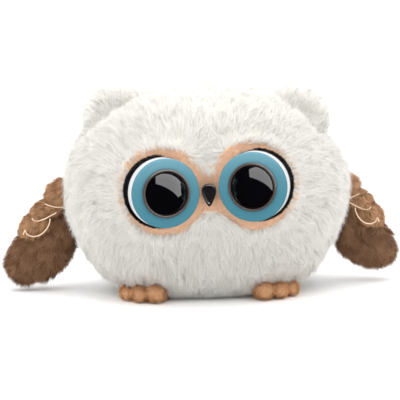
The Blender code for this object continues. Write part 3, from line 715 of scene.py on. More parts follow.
@dataclass
class BodyForm:
    """The round body as a stack of rounded rings, the same as the pelt under the pile."""

    profile: tuple[tuple[float, float], ...] = (
        (0.6, 40.0), (1.5, 44.0), (4.0, 52.0), (8.0, 60.0), (12.0, 66.0), (20.0, 73.5), (28.0, 79.0), (38.0, 84.5),
        (50.0, 89.5), (62.0, 92.0), (75.0, 92.0), (86.0, 90.5), (94.0, 87.5), (102.0, 83.5), (110.0, 78.5),
        (118.0, 71.0), (126.0, 60.0), (132.0, 47.5), (136.0, 33.0), (138.0, 17.0), (138.6, 3.0))
    depth: float = 0.76
    squareness: float = 2.3
    inset: float = 0.6
    lump: float = 1.3
    tuck: float = 4.2
    rows: int = 84
    columns: int = 168

    def ring(self, height: float, half: float) -> Array:
        """One level of the body, in metres."""
        turn = np.linspace(0, 2 * math.pi, self.columns, endpoint=False)
        power = 2.0 / self.squareness
        across_x = np.sign(np.cos(turn)) * np.abs(np.cos(turn)) ** power * half
        along_y = np.sign(np.sin(turn)) * np.abs(np.sin(turn)) ** power * half * self.depth
        return np.stack([across_x, along_y, np.full(self.columns, height)], axis=1) * MM

    def smooth_profile(self) -> list[tuple[float, float]]:
        """The profile with even steps along its length, rounded between its points."""
        table = np.array(self.profile)
        steps = np.concatenate([[0], np.cumsum(np.linalg.norm(np.diff(table, axis=0), axis=1))])
        slopes = np.gradient(table, steps, axis=0)
        found = []
        for place in np.linspace(0, steps[-1], self.rows):
            index = min(int(np.searchsorted(steps, place, side="right")) - 1, len(steps) - 2)
            span = steps[index + 1] - steps[index]
            t = (place - steps[index]) / span
            basis = (2 * t**3 - 3 * t**2 + 1, t**3 - 2 * t**2 + t, -2 * t**3 + 3 * t**2, t**3 - t**2)
            point = (basis[0] * table[index] + basis[1] * span * slopes[index]
                     + basis[2] * table[index + 1] + basis[3] * span * slopes[index + 1])
            found.append((float(point[0]), max(float(point[1]), 0.5)))
        return found

    def skin(self, name: str) -> bpy.types.Object:
        """The closed cloth of the body, a little inside the pelt."""
        rows = np.array([self.ring(z - self.inset * (1 if z > 70 else 0), max(half - self.inset, 0.4))
                         for z, half in self.smooth_profile()])
        flat = rows.reshape(-1, 3)
        outward = unit(flat * np.array([1.0, 1.0 / self.depth**2, 0.9]) - np.array([0.0, 0.0, 0.062]))
        lean = (smoothstep(0.030, 0.080, flat[:, 0]) * smoothstep(0.074, 0.098, flat[:, 2])
                * (1 - smoothstep(0.116, 0.134, flat[:, 2])))
        flat = flat - np.array([self.tuck * MM, 0.0, 0.0]) * lean[:, None]
        lumps = waves(flat, 0.040, 31, 6) * smoothstep(0.004, 0.030, flat[:, 2]) - 0.4
        return grid_skin(name, (flat + outward * (lumps * self.lump * MM)[:, None]).reshape(rows.shape))

    def front(self, x: Array, z: Array) -> Array:
        """How far forward the body's face stands at points of its front view, in metres."""
        levels = np.array(self.smooth_profile())
        half = np.interp(z, levels[:, 0] * MM, levels[:, 1] * MM)
        part = np.clip(1.0 - (np.abs(x) / np.maximum(half, 1e-6)) ** self.squareness, 0.0, 1.0)
        return -self.depth * half * part ** (1.0 / self.squareness)


@dataclass
class FaceForm:
    """Where the eyes and the mask sit in the front view, in millimetres."""

    eye_x: float = 26.0
    eye_y: float = -86.0
    eye_z: float = 75.0
    tilt: float = 1.3
    toe_in: float = 15.0
    disc_x: float = 28.5
    disc: float = 28.0
    bridge: tuple[float, float, float] = (16.0, 61.0, 89.0)
    opening: tuple[float, float, float] = (26.4, 23.3, 2.6)

    def eye(self, side: Side) -> Vector:
        """The middle of an eye's front, in metres."""
        return Vector((side.value * self.eye_x, self.eye_y, self.eye_z + side.value * self.tilt)) * MM

    def axis(self, side: Side) -> Vector:
        """The way an eye looks."""
        angle = math.radians(self.toe_in)
        return Vector((-side.value * math.sin(angle), -math.cos(angle), 0.0))

    def outside(self, points: Array) -> Array:
        """How far points of the front view lie outside the mask, in metres."""
        x, z = points[:, 0] / MM, points[:, 2] / MM
        found = np.full(len(points), 1e9)
        for side in Side:
            lift = side.value * self.tilt
            away_x, away_z = x - side.value * self.disc_x, z - self.eye_z - lift
            found = np.minimum(found, np.hypot(away_x, away_z) - self.disc)
        width, foot, top = self.bridge
        box = np.maximum(np.abs(x) - width, np.maximum(foot - z, z - top))
        return np.minimum(found, box) * MM

    def bare(self, points: Array) -> Array:
        """How far points of the front view lie outside what the long pile leaves bare, in metres."""
        x, z = points[:, 0] / MM, points[:, 2] / MM
        found = np.full(len(points), 1e9)
        for side in Side:
            away_x, away_z = x - side.value * self.opening[0], z - self.eye_z - side.value * self.tilt
            apart = np.hypot(away_x, away_z)
            below = smoothstep(0.1, 0.9, -away_z / np.maximum(apart, 1e-6))
            outer = smoothstep(0.2, 0.9, side.value * away_x / np.maximum(apart, 1e-6)) * (1 - below)
            found = np.minimum(found, apart - self.opening[1] - self.opening[2] * below + 1.1 * outer)
        box = np.maximum(np.abs(x) - 12.0, np.maximum(60.0 - z, z - 85.0 - 0.55 * np.abs(x)))
        return np.minimum(found, box) * MM


class Pelt:
    """The body's cloth and its long white pile."""

    ZONES = {"front_right_upper": (-1, 1, 1), "front_left_upper": (1, 1, 1),
             "front_right_lower": (-1, 1, -1), "front_left_lower": (1, 1, -1),
             "back_right_upper": (-1, -1, 1), "back_left_upper": (1, -1, 1),
             "back_right_lower": (-1, -1, -1), "back_left_lower": (1, -1, -1)}

    EAR_CENTRE = (58.2, -14.0, 115.4)
    EAR_SIZE = (19.0, 16.5, 17.5)
    FRONT = (39000, 0.27)
    BACK = (16000, 0.43)
    LENGTH = 12.0

    def __init__(self, form: BodyForm, face: FaceForm) -> None:
        """Keep the body's and the face's forms."""
        self.form = form
        self.face = face

    def flow(self, points: Array) -> Array:
        """Which way the pile runs: outwards from the eyes, over the crown to the back, and down the body."""
        x, y, z = (points[:, k] / MM for k in range(3))
        zero = x * 0.0
        front = smoothstep(-4.0, 40.0, -y)
        flank = smoothstep(45.0, 85.0, np.abs(x)) * smoothstep(-30.0, 10.0, -y)
        down = np.stack([x * 0.004, 0.15 + 0.75 * flank, zero - 1.0], axis=1)
        crown = smoothstep(104.0, 130.0, z)[:, None]
        over = np.stack([x * 0.010, zero + 1.0, 0.25 - 0.9 * smoothstep(5.0, 45.0, y)], axis=1)
        flow = unit(down) * (1 - crown) + unit(over) * crown
        side = np.where(x < 0, -1.0, 1.0)
        ex, ez = side * self.face.eye_x, self.face.eye_z + side * self.face.tilt
        apart = np.hypot(x - ex, z - ez)
        away = unit(np.stack([x - ex, zero + 10.0, z - ez], axis=1))
        cheek = (front * (1 - smoothstep(32.0, 60.0, apart)))[:, None]
        flow = flow * (1 - cheek) + away * cheek
        brow = (front * smoothstep(88.0, 99.0, z) * (1 - smoothstep(112.0, 130.0, z)))[:, None]
        fan = unit(np.stack([(x + 6.0) * 0.026, zero, zero + 1.0], axis=1))
        flow = flow * (1 - brow * 0.8) + fan * brow * 0.8
        bib = (front * (1 - smoothstep(12.0, 30.0, np.abs(x))) * (1 - smoothstep(60.0, 66.0, z))
               * smoothstep(34.0, 50.0, z))[:, None]
        flow = flow * (1 - bib) + unit(np.stack([x, zero, z - 66.0], axis=1)) * bib
        tuft = (front * (1 - smoothstep(9.0, 20.0, np.abs(x))) * smoothstep(78.0, 83.0, z)
                * (1 - smoothstep(102.0, 114.0, z)))[:, None]
        turn = np.radians(15.0 + 155.0 * (1 - smoothstep(84.0, 106.0, z)))
        flow = flow * (1 - tuft) + np.stack([-side * np.sin(turn), zero, np.cos(turn)], axis=1) * tuft
        normals = unit(np.stack([x, y / self.form.depth**2, (z - 68.0) * 0.8], axis=1))
        sway = np.radians(13.0 * waves(points, 0.050, 5) + 7.0 * waves(points, 0.020, 6))
        return turn_about(across(flow, normals), normals, sway)

    @staticmethod
    def ear_way(points: Array) -> Array:
        """How far points lie from the middle of the nearer ear, over the ear's own size."""
        places = (np.abs(points[:, 0]), points[:, 1], points[:, 2])
        return np.sqrt(sum(((place / MM - middle) / size) ** 2
                           for place, middle, size in zip(places, Pelt.EAR_CENTRE, Pelt.EAR_SIZE)))

    def share(self, points: Array) -> Array:
        """Where the pile grows: everywhere but the mask, the underside, the ears and the eyes."""
        front = points[:, 1] < -0.02
        keep = np.where(front, smoothstep(-0.0006, 0.0008, self.face.bare(points)), 1.0)
        return keep * smoothstep(0.0012, 0.004, points[:, 2]) * smoothstep(0.90, 1.02, self.ear_way(points))

    def raised(self, points: Array) -> Array:
        """Round the mask the roots start on top of its edge."""
        front = points[:, 1] < -0.02
        return np.where(front, 0.0030 * (1.0 - smoothstep(0.001, 0.0065, self.face.bare(points))), 0.0)

    def length(self, points: Array) -> Array:
        """The pile is shorter round the mask, on the crown and near the floor."""
        near = smoothstep(0.0, 0.024, self.face.bare(points))
        front = points[:, 1] < -0.02
        low = smoothstep(0.0, 0.022, points[:, 2])
        high = smoothstep(0.112, 0.136, points[:, 2])
        fore = smoothstep(0.006, 0.018, -points[:, 1])
        ear = 1.0 - 0.68 * fore * (1.0 - smoothstep(1.0, 1.6, self.ear_way(points)))
        return np.where(front, 0.60 + 0.40 * near, 1.0) * (0.88 + 0.12 * low) * (1.0 - 0.45 * high) * ear

    def build(self) -> None:
        """Make the cloth and the zones of pile."""
        skin = self.form.skin("pelt_cloth")
        smooth(skin, 60.0)
        dress(skin, Finishes.WHITE_CLOTH, "pile_fabric", "body", "body_pelt")
        cloth = Cloth.of(skin)
        for number, (name, (hand, fore, rise)) in enumerate(self.ZONES.items()):
            count, width = self.FRONT if fore > 0 else self.BACK
            pile = Pile(count=count, length=self.LENGTH, width=width, seed=40 + number)

            def keep(points: Array, hand: int = hand, fore: int = fore, rise: int = rise) -> Array:
                """The pile's share within one zone."""
                inside = ((points[:, 0] * hand >= 0) & ((-points[:, 1] - 0.004) * fore >= 0)
                          & ((points[:, 2] - 0.068) * rise >= 0))
                return self.share(points) * inside

            patch = PileMaker(pile).grow(f"pile_{name}", cloth, keep, self.flow, self.length, self.raised)
            dress(patch, Finishes.WHITE_PILE, "pile_fabric", "body")


@dataclass
class Ear:
    """One ear, a soft lobe of fur with a shaded fold in front."""

    side: Side
    centre: Colour = (58.2, -15.5, 115.2)
    radii: Colour = (19.8, 16.5, 18.4)
    lean: float = 14.0
    shift: float = 0.8
    drop: float = 1.6

    def build(self) -> None:
        """Make the lobe by a sphere dented in front, and cover it with pile."""
        sign, word = self.side.value, self.side.word
        select_none()
        bpy.ops.mesh.primitive_uv_sphere_add(segments=40, ring_count=24, radius=1.0)
        lobe = bpy.context.object
        lobe.name = f"{word}_ear_lobe"
        lean = Matrix.Rotation(math.radians(self.lean * sign), 4, "Y")
        at = Vector((sign * self.centre[0] + self.shift, self.centre[1], self.centre[2] - sign * self.drop)) * MM
        for vert in lobe.data.vertices:
            point = Vector([coordinate * radius * MM for coordinate, radius in zip(vert.co, self.radii)])
            if vert.co.y < 0:
                point.y *= 1.0 - 0.45 * max(0.0, 1.0 - (vert.co.x**2 + (vert.co.z - 0.1) ** 2) * 1.6)
            vert.co = lean @ point + at
        tidy_mesh(lobe)
        smooth(lobe, 60.0)
        dress(lobe, Finishes.WHITE_CLOTH, "pile_fabric", "body", f"{word}_ear")
        up = lean @ Vector((0.0, 0.0, 1.0))

        def flow(points: Array) -> Array:
            """Up and out to the ear's rim."""
            away = unit(points - np.array(at))
            return away * 0.5 + np.array(up) + np.array([sign * 0.35, 0.0, 0.0])

        def keep(points: Array) -> Array:
            """All but what is deep in the head."""
            inside = np.abs(points[:, 0]) + (points[:, 2] - 0.100) * 0.6
            return smoothstep(0.040, 0.052, inside)

        pile = Pile(count=18000, length=9.5, width=0.27, rise=(44.0, 10.0), tuft=4.5, seed=70 + sign)
        patch = PileMaker(pile).grow(f"{word}_ear_pile", Cloth.of(lobe), keep, flow)
        dress(patch, Finishes.EAR_PILE, "pile_fabric", "body")


# ---------------------------------------------------------------- the face


@dataclass
class Mask:
    """The thin stretched mask round the eyes, cut to an outline, with its short nap."""

    face: FaceForm
    form: BodyForm
    cell: float = 1.3
    proud: float = 0.0009
    thickness: float = 0.0008
    hole: float = 0.0212
    spread: float = 1.10
    allowance: tuple[float, float] = (1.10, 1.02)

    def sheet_points(self, points: Array) -> Array:
        """Lay front-view points on the body, a little proud of it."""
        y = self.form.front(points[:, 0], points[:, 2]) - self.proud
        return np.stack([points[:, 0], y, points[:, 2]], axis=1)

    def edge(self, points: Array) -> Array:
        """How far points lie outside the cut sheet, in metres, with the eyes' holes left out."""
        found = self.face.outside(points)
        for side in Side:
            centre = self.face.eye(side)
            hole = self.hole - np.hypot(points[:, 0] - centre.x * self.spread, points[:, 2] - centre.z)
            found = np.maximum(found, hole)
        return found

    def build(self) -> None:
        """Cut the sheet cell by cell, draw its edge onto the outline, and give it a thickness."""
        step = self.cell * MM
        columns = np.arange(-0.062, 0.062, step)
        rows = np.arange(0.042, 0.108, step)
        grid = np.array([[x, 0.0, z] for z in rows for x in columns])
        wide = len(columns)
        edge = self.edge(grid)
        for _ in range(3):
            slip = 1e-5
            over_x = (self.edge(grid + [slip, 0, 0]) - edge) / slip
            over_z = (self.edge(grid + [0, 0, slip]) - edge) / slip
            near = np.abs(edge) < step * 0.72
            grid[near, 0] -= (edge * over_x)[near]
            grid[near, 2] -= (edge * over_z)[near]
            edge = self.edge(grid)
        faces = []
        for row in range(len(rows) - 1):
            for column in range(wide - 1):
                corner = row * wide + column
                quad = (corner, corner + 1, corner + wide + 1, corner + wide)
                if edge[list(quad)].max() < 2e-5:
                    faces.append(quad)
        used = sorted({index for quad in faces for index in quad})
        place = {index: number for number, index in enumerate(used)}
        mask = mesh_object("mask_sheet", self.sheet_points(grid[used]), [],
                           [tuple(place[index] for index in quad) for quad in faces])
        tidy_mesh(mask)
        mesh = mask.data
        if sum(face.normal.y * face.area for face in mesh.polygons) > 0:
            mesh.flip_normals()
        area = sum(face.area for face in mesh.polygons)
        cloth = Cloth.of(mask)
        apply_modifier(mask, "SOLIDIFY", thickness=self.thickness, offset=-1.0)
        smooth(mask, 50.0)
        dress(mask, Finishes.PEACH_CLOTH, "mask_fabric", "body", "face_mask")
        spans = [max(corner[k] for corner in mask.bound_box) - min(corner[k] for corner in mask.bound_box)
                 for k in (0, 2)]
        # The allowances for the sheet's curve are chosen, not measured.
        flat = (spans[0] * self.allowance[0], spans[1] * self.allowance[1])
        LOG.info("mask: %.1f x %.1f mm flat, %.0f mm2", flat[0] / MM, flat[1] / MM, area / MM**2)

        def flow(points: Array) -> Array:
            """Down, and a little away from the middle."""
            return np.stack([points[:, 0] * 6.0, points[:, 0] * 0, np.full(len(points), -1.0)], axis=1)

        pile = Pile(count=15000, length=2.3, width=0.22, rise=(50.0, 14.0), sink=0.2, tuft=2.0, pull=0.25,
                    wander=18.0, seed=81)
        nap = PileMaker(pile).grow("mask_nap", cloth, everywhere, flow)
        dress(nap, Finishes.PEACH_PILE, "mask_fabric", "body")


@dataclass
class Eye:
    """One eye: a white drum with a painted iris, a grey bezel, a gloss dome and a bristly lash."""

    side: Side
    face: FaceForm
    drum: tuple = ((0.0, -26.4), (18.6, -26.4), (19.4, -25.6), (19.4, -11.0), (20.9, -10.9), (21.25, -10.5),
                   (21.25, -2.9), (21.0, -2.35), (20.2, -2.2), (0.0, -2.2))
    iris: tuple = ((12.6, -2.15), (20.4, -2.15), (21.1, -1.9), (21.2, -1.2), (20.9, -0.35), (20.4, -0.05),
                   (19.6, 0.0), (12.6, 0.0))
    bezel: tuple = ((12.7, 0.02), (14.4, 0.02), (14.75, 0.3), (14.8, 1.1), (14.5, 1.6), (14.0, 1.8), (13.6, 1.7),
                    (13.25, 1.35), (13.2, 0.8), (12.7, 0.6))
    lash: tuple = ((19.75, -26.0), (20.9, -25.0), (21.35, -24.0), (21.45, -16.0), (21.5, -12.2), (21.3, -11.5),
                   (20.6, -11.3), (19.75, -11.8))
    dome: float = 13.15
    rise: float = 6.3

    def name(self, part: str) -> str:
        """A part's name with the eye's side."""
        return f"{self.side.word}_{part}"

    def spin(self, part: str, outline: Sequence, steps: int = 112) -> bpy.types.Object:
        """Spin one part's outline round the eye's axis."""
        return spin_outline(self.name(part), outline, self.face.eye(self.side), self.face.axis(self.side), steps)

    def build(self) -> None:
        """Spin the five turned parts and set the bristles."""
        dress(self.spin("drum_white", self.drum), Finishes.DRUM, "drum_white", "body", self.name("eye_drum"))
        centre = tuple(self.face.eye(self.side))
        # The second colour is the iris's painted light at its top.
        iris = IrisFinish(f"{self.side.word}_iris_paint", (0.046, 0.170, 0.222), (0.150, 0.310, 0.375), centre, 0.021)
        dress(self.spin("iris_ring", self.iris), iris, "iris_blue", "body", self.name("iris"))
        dress(self.spin("bezel_ring", self.bezel), Finishes.BEZEL, "bezel_grey", "body", self.name("bezel"))
        sphere = (self.dome**2 + self.rise**2) / (2 * self.rise)
        top = math.asin(self.dome / sphere)
        cap = [(sphere * math.sin(top * k / 14), 1.0 + self.rise - sphere * (1 - math.cos(top * k / 14)))
               for k in range(15)]
        outline = [(0.0, 0.62), (self.dome - 0.35, 0.62), (self.dome, 0.85), *reversed(cap)]
        dress(self.spin("gloss_dome", outline), Finishes.DOME, "black_gloss", "body", self.name("pupil_dome"))
        lash = self.spin("lash_band", self.lash, 160)
        cloth = Cloth.of(lash)
        dress(lash, Finishes.LASH, "lash_black", "body", self.name("lash_sleeve"))
        middle, axis = np.array(self.face.eye(self.side)), np.array(self.face.axis(self.side))
        sign = self.side.value

        def keep(points: Array) -> Array:
            """The outer flank of the band, away from the nose."""
            away = points - middle
            back = away @ axis
            radial = away - back[:, None] * axis
            round_x = unit(radial)[:, 0] * sign
            return (smoothstep(-0.25, 0.35, round_x) * (back > -0.019) * (back < -0.0113)
                    * (np.linalg.norm(radial, axis=1) > 0.0205))

        def flow(points: Array) -> Array:
            """Forwards along the band, and outwards."""
            away = points - middle
            radial = unit(away - (away @ axis)[:, None] * axis)
            return axis * 0.7 + np.cross(radial, axis) * 0.5

        pile = Pile(count=4600, length=2.5, width=0.24, rise=(52.0, 26.0), sink=0.2, tuft=1.6, pull=0.5,
                    wander=26.0, soft=0.5, seed=90 + sign)
        bristle = PileMaker(pile).grow(self.name("lash_bristles"), cloth, keep, flow)
        dress(bristle, Finishes.LASH_PILE, "lash_black", "body")


@dataclass
class Beak:
    """The small gloss beak: a drop with its point down, a bevelled rim and a sunk face."""

    centre: float = 72.0
    half: tuple[float, float] = (4.35, 6.7)

    def drop(self, scale: float, depth: float, steps: int = 64) -> Array:
        """The drop's outline at one scale and depth."""
        angles = np.linspace(0, 2 * math.pi, steps, endpoint=False)
        up = np.cos(angles)
        wide = np.sin(angles) * (0.98 + 0.40 * up)
        x = self.half[0] * wide
        z = np.where(up > 0, self.half[1] * up * 0.92, self.half[1] * (up - 0.16 * up * up))
        return np.stack([x * scale, np.full(steps, depth), self.centre + z * scale], axis=1) * MM

    def build(self) -> None:
        """Loft the drop from its back to its sunk face."""
        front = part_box("beak")[0][1] / MM
        rings = [(0.80, front + 6.0), (0.93, front + 5.4), (1.0, front + 4.2), (1.0, front + 1.6), (0.97, front + 0.7),
                 (0.90, front + 0.15), (0.82, front), (0.76, front + 0.12), (0.70, front + 0.55), (0.66, front + 0.7),
                 (0.40, front + 0.55), (0.12, front + 0.45)]
        beak = grid_skin("beak_drop", np.array([self.drop(scale, depth) for scale, depth in rings]))
        smooth(beak, 55.0)
        dress(beak, Finishes.BEAK, "black_gloss", "body", "beak")


# ---------------------------------------------------------------- wings and feet


def plump(obj: bpy.types.Object, voxel: float, cap: float, pressure: float = 4.0) -> None:
    """Remesh a pad evenly, swell it as cloth under pressure, and smooth it.

    Args:
        obj: The closed pad.
        voxel: The remesh size in metres.
        cap: How far a point may move, in metres.
        pressure: The air pressure inside.
    """
    select_only(obj)
    obj.data.remesh_voxel_size = voxel
    bpy.ops.object.voxel_remesh()
    start = np.array([vert.co for vert in obj.data.vertices])
    modifier = obj.modifiers.new("cloth", "CLOTH")
    modifier.settings.use_pressure = True
    modifier.settings.uniform_pressure_force = pressure
    modifier.settings.effector_weights.gravity = 0.0
    modifier.settings.quality = 4
    modifier.point_cache.frame_start, modifier.point_cache.frame_end = 1, 20
    scene = bpy.context.scene
    for frame in range(1, 21):
        scene.frame_set(frame)
    swollen = obj.evaluated_get(bpy.context.evaluated_depsgraph_get())
    moved = np.array([vert.co for vert in swollen.data.vertices]) - start
    obj.modifiers.remove(modifier)
    scene.frame_set(1)
    far = np.linalg.norm(moved, axis=1, keepdims=True)
    moved *= np.minimum(1.0, cap / np.maximum(far, 1e-9))
    obj.data.vertices.foreach_set("co", (start + moved).ravel())
    LOG.info("%s swelled by up to %.1f mm", obj.name, np.linalg.norm(moved, axis=1).max() / MM)
    subdivide(obj, 1)
    smooth(obj, 80.0)


def sphere_piece(name: str, centre: Colour, radii: Colour, tilt: float = 0.0) -> bpy.types.Object:
    """An ellipsoid in millimetres, tilted about Y, to shape or join further."""
    select_none()
    bpy.ops.mesh.primitive_uv_sphere_add(segments=32, ring_count=20, radius=1.0)
    obj = bpy.context.object
    obj.name = name
    turn = Matrix.Rotation(math.radians(tilt), 4, "Y")
    for vert in obj.data.vertices:
        point = turn @ Vector([coordinate * radius * MM for coordinate, radius in zip(vert.co, radii)])
        vert.co = point + Vector(centre) * MM
    return obj


def tube(name: str, path: Array, radius: float, sides: int = 10) -> bpy.types.Object:
    """A closed round tube along a smooth path, tapering at both ends."""
    fine = []
    for index in range(len(path) - 1):
        before, first = path[max(index - 1, 0)], path[index]
        second, after = path[index + 1], path[min(index + 2, len(path) - 1)]
        for share in np.linspace(0, 1, 8, endpoint=False):
            fine.append(0.5 * (2 * first + (second - before) * share
                               + (2 * before - 5 * first + 4 * second - after) * share**2
                               + (3 * first - before - 3 * second + after) * share**3))
    fine.append(path[-1])
    points = np.array(fine)
    ways = unit(np.gradient(points, axis=0))
    flat = unit(np.cross(ways, np.array([0.0, 1.0, 0.0])))
    rise = np.cross(ways, flat)
    turn = np.linspace(0, 2 * math.pi, sides, endpoint=False)
    size = np.full(len(points), radius)
    size[[0, -1]] = radius * 0.35
    rings = (points[:, None] + flat[:, None] * np.cos(turn)[None, :, None] * size[:, None, None]
             + rise[:, None] * np.sin(turn)[None, :, None] * size[:, None, None])
    obj = grid_skin(name, rings)
    smooth(obj, 60.0)
    return obj


@dataclass
class Wing:
    """One padded wing: a pad, three tiers of feathers over it, and the piping that edges them."""

    side: Side
    reach: tuple[float, float]
    outline: tuple[tuple[float, float], ...] = (
        (90.0, 62.0), (91.5, 68.0), (95.0, 68.0), (101.0, 61.5), (108.5, 53.5), (116.5, 44.5), (124.0, 34.5),
        (130.0, 24.5), (132.6, 16.0), (129.0, 9.4), (119.5, 7.4), (108.0, 9.6), (98.5, 16.5), (93.0, 27.0),
        (91.4, 40.0), (90.4, 53.0))
    middle: float = 12.0
    half: float = 6.8
    tiers: tuple = (("upper", (96.0, 5.4, 66.2), (9.0, 6.4, 8.2), 48.0),
                    ("middle", (105.6, 4.6, 56.2), (11.4, 6.2, 6.2), 22.0),
                    ("lower", (113.0, 4.2, 45.8), (12.0, 6.2, 7.6), 34.0))
    piping: tuple = (("upper", ((106.2, 60.6), (102.8, 59.0), (98.6, 58.0), (94.0, 57.8))),
                     ("middle", ((114.6, 51.0), (113.8, 49.4), (111.4, 48.8), (107.6, 49.8), (103.2, 52.0),
                                 (99.0, 54.4))),
                     ("lower", ((120.6, 39.6), (119.4, 42.6), (118.2, 40.0), (115.6, 38.6), (112.4, 38.4),
                                (108.8, 40.0), (105.6, 43.4), (103.8, 47.0), (103.2, 50.4))))

    def place(self, x: float, y: float, z: float) -> Array:
        """A point of the wing, with the wing's own reach from the shoulder, in metres."""
        wide, high = self.reach
        return np.array([self.side.value * (68.0 + (x - 68.0) * wide), y, 75.0 + (z - 75.0) * high]) * MM

    def flow(self, points: Array) -> Array:
        """The pile runs down and outwards from the shoulder."""
        root = self.place(82.0, 12.0, 78.0)
        away = points - root
        away[:, 1] *= 0.25
        sway = 0.30 * waves(points, 0.026, 12 + self.side.value)
        away = unit(away)
        return away + np.stack([sway, sway * 0, -sway], axis=1) + np.array([0.0, 0.0, -0.25])

    def pad(self) -> bpy.types.Object:
        """The wing's pad as a pillow round its outline, swollen as cloth."""
        closed = np.array(self.outline + self.outline[:1])
        steps = np.concatenate([[0], np.cumsum(np.linalg.norm(np.diff(closed, axis=0), axis=1))])
        even = np.linspace(0, steps[-1], 72, endpoint=False)
        edge = np.stack([np.interp(even, steps, closed[:, k]) for k in range(2)], axis=1)
        for _ in range(3):
            edge = (np.roll(edge, 1, axis=0) + edge * 2 + np.roll(edge, -1, axis=0)) / 4
        heart = edge.mean(axis=0)
        rings = []
        for lean in np.linspace(-88, 88, 13):
            angle = math.radians(lean)
            scale = math.cos(angle) ** 0.42 if abs(lean) < 87 else 0.1
            ring = heart + (edge - heart) * (0.06 + 0.94 * scale)
            rings.append([self.place(x, self.middle + self.half * math.sin(angle), z) for x, z in ring])
        return grid_skin(f"{self.side.word}_wing_cushion", np.array(rings))

    def build(self) -> None:
        """Make the pad, its tiers, their piping and all their pile."""
        word, body = self.side.word, f"{self.side.word}_wing"
        seed = 110 + 20 * self.side.value
        pad = self.pad()
        plump(pad, 0.0035, 0.0022)
        dress(pad, Finishes.BROWN_CLOTH, "wing_fabric", body, f"{word}_wing_pad")
        pile = Pile(count=25000, length=8.6, width=0.34, rise=(52.0, 9.0), sink=0.8, tuft=4.2, pull=0.55,
                    wander=17.0, uneven=0.2, seed=seed)

        def keep(points: Array) -> Array:
            """Everywhere on the pad, but thin where the tiers lie over it."""
            front = points[:, 1] < 0.010
            share = np.ones(len(points))
            for _, centre, radii, _tilt in self.tiers:
                away = np.linalg.norm((points - self.place(*centre)) / (np.array(radii) * MM), axis=1)
                share = np.where(front & (away < 1.0), 0.0, share)
            return share

        patch = PileMaker(pile).grow(f"{word}_wing_pile", Cloth.of(pad), keep, self.flow)
        dress(patch, Finishes.BROWN_PILE, "wing_fabric", body)
        for number, (level, centre, radii, tilt) in enumerate(self.tiers):
            at = self.place(*centre) / MM
            tier = sphere_piece(f"{word}_tier_{level}", tuple(at), radii, self.side.value * tilt)
            plump(tier, 0.0022, 0.0008)
            dress(tier, Finishes.BROWN_CLOTH, "wing_fabric", body, f"{word}_fold_{level}")
            long = 6.0 if level == "upper" else 4.2
            pile = Pile(count=6500 if level == "upper" else 5200, length=long, width=0.30, rise=(50.0, 12.0),
                        sink=0.6, tuft=3.4, pull=0.5, wander=16.0, uneven=0.2, seed=seed + 1 + number)
            patch = PileMaker(pile).grow(f"{word}_tier_{level}_pile", Cloth.of(tier), everywhere, self.flow)
            dress(patch, Finishes.TIER_PILE, "wing_fabric", body)
        for level, line in self.piping:
            path = np.array([self.place(x, -2.8, z) for x, z in line])
            cord = tube(f"{word}_piping_{level}", path, 0.42 * MM)
            dress(cord, Finishes.PIPING, "wing_fabric", body)


@dataclass
class Foot:
    """One foot: three velvety toes side by side on a low sole."""

    side: Side
    toes: tuple = (((34.5, -43.0, 5.6), (6.8, 14.0, 6.2)), ((44.8, -38.5, 5.0), (5.9, 14.0, 5.6)),
                   ((53.2, -31.0, 4.4), (4.9, 13.0, 5.0)), ((44.0, -31.0, 3.8), (13.0, 12.0, 4.6)))

    def build(self) -> None:
        """Join the toes in one skin, flatten it on the floor and cover it with short nap."""
        sign, word = self.side.value, self.side.word
        lobes = [sphere_piece(f"{word}_toe_{number}", (sign * centre[0], *centre[1:]), radii)
                 for number, (centre, radii) in enumerate(self.toes)]
        select_none()
        for lobe in lobes:
            lobe.select_set(True)
        bpy.context.view_layer.objects.active = lobes[0]
        bpy.ops.object.join()
        foot = lobes[0]
        foot.name = f"{word}_foot_pad"
        foot.data.remesh_voxel_size = 0.0011
        select_only(foot)
        bpy.ops.object.voxel_remesh()
        apply_modifier(foot, "SMOOTH", factor=0.5, iterations=4)
        for vert in foot.data.vertices:
            vert.co.z = max(vert.co.z, 0.0007)
        smooth(foot, 60.0)
        dress(foot, Finishes.TAN_CLOTH, "foot_fabric", "body", f"{word}_foot")

        def flow(points: Array) -> Array:
            """Forwards over the toes and down."""
            return np.stack([points[:, 0] * 0, np.full(len(points), -1.0), np.full(len(points), -0.35)], axis=1)

        def keep(points: Array) -> Array:
            """All that shows: not under the sole nor under the body."""
            return (points[:, 2] > 0.0015) * smoothstep(-0.018, -0.026, points[:, 1])

        pile = Pile(count=7000, length=2.5, width=0.22, rise=(55.0, 18.0), sink=0.2, tuft=2.0, pull=0.3,
                    wander=18.0, seed=150 + sign)
        nap = PileMaker(pile).grow(f"{word}_foot_nap", Cloth.of(foot), keep, flow)
        dress(nap, Finishes.TAN_PILE, "foot_fabric", "body")


# ---------------------------------------------------------------- the works and the studio


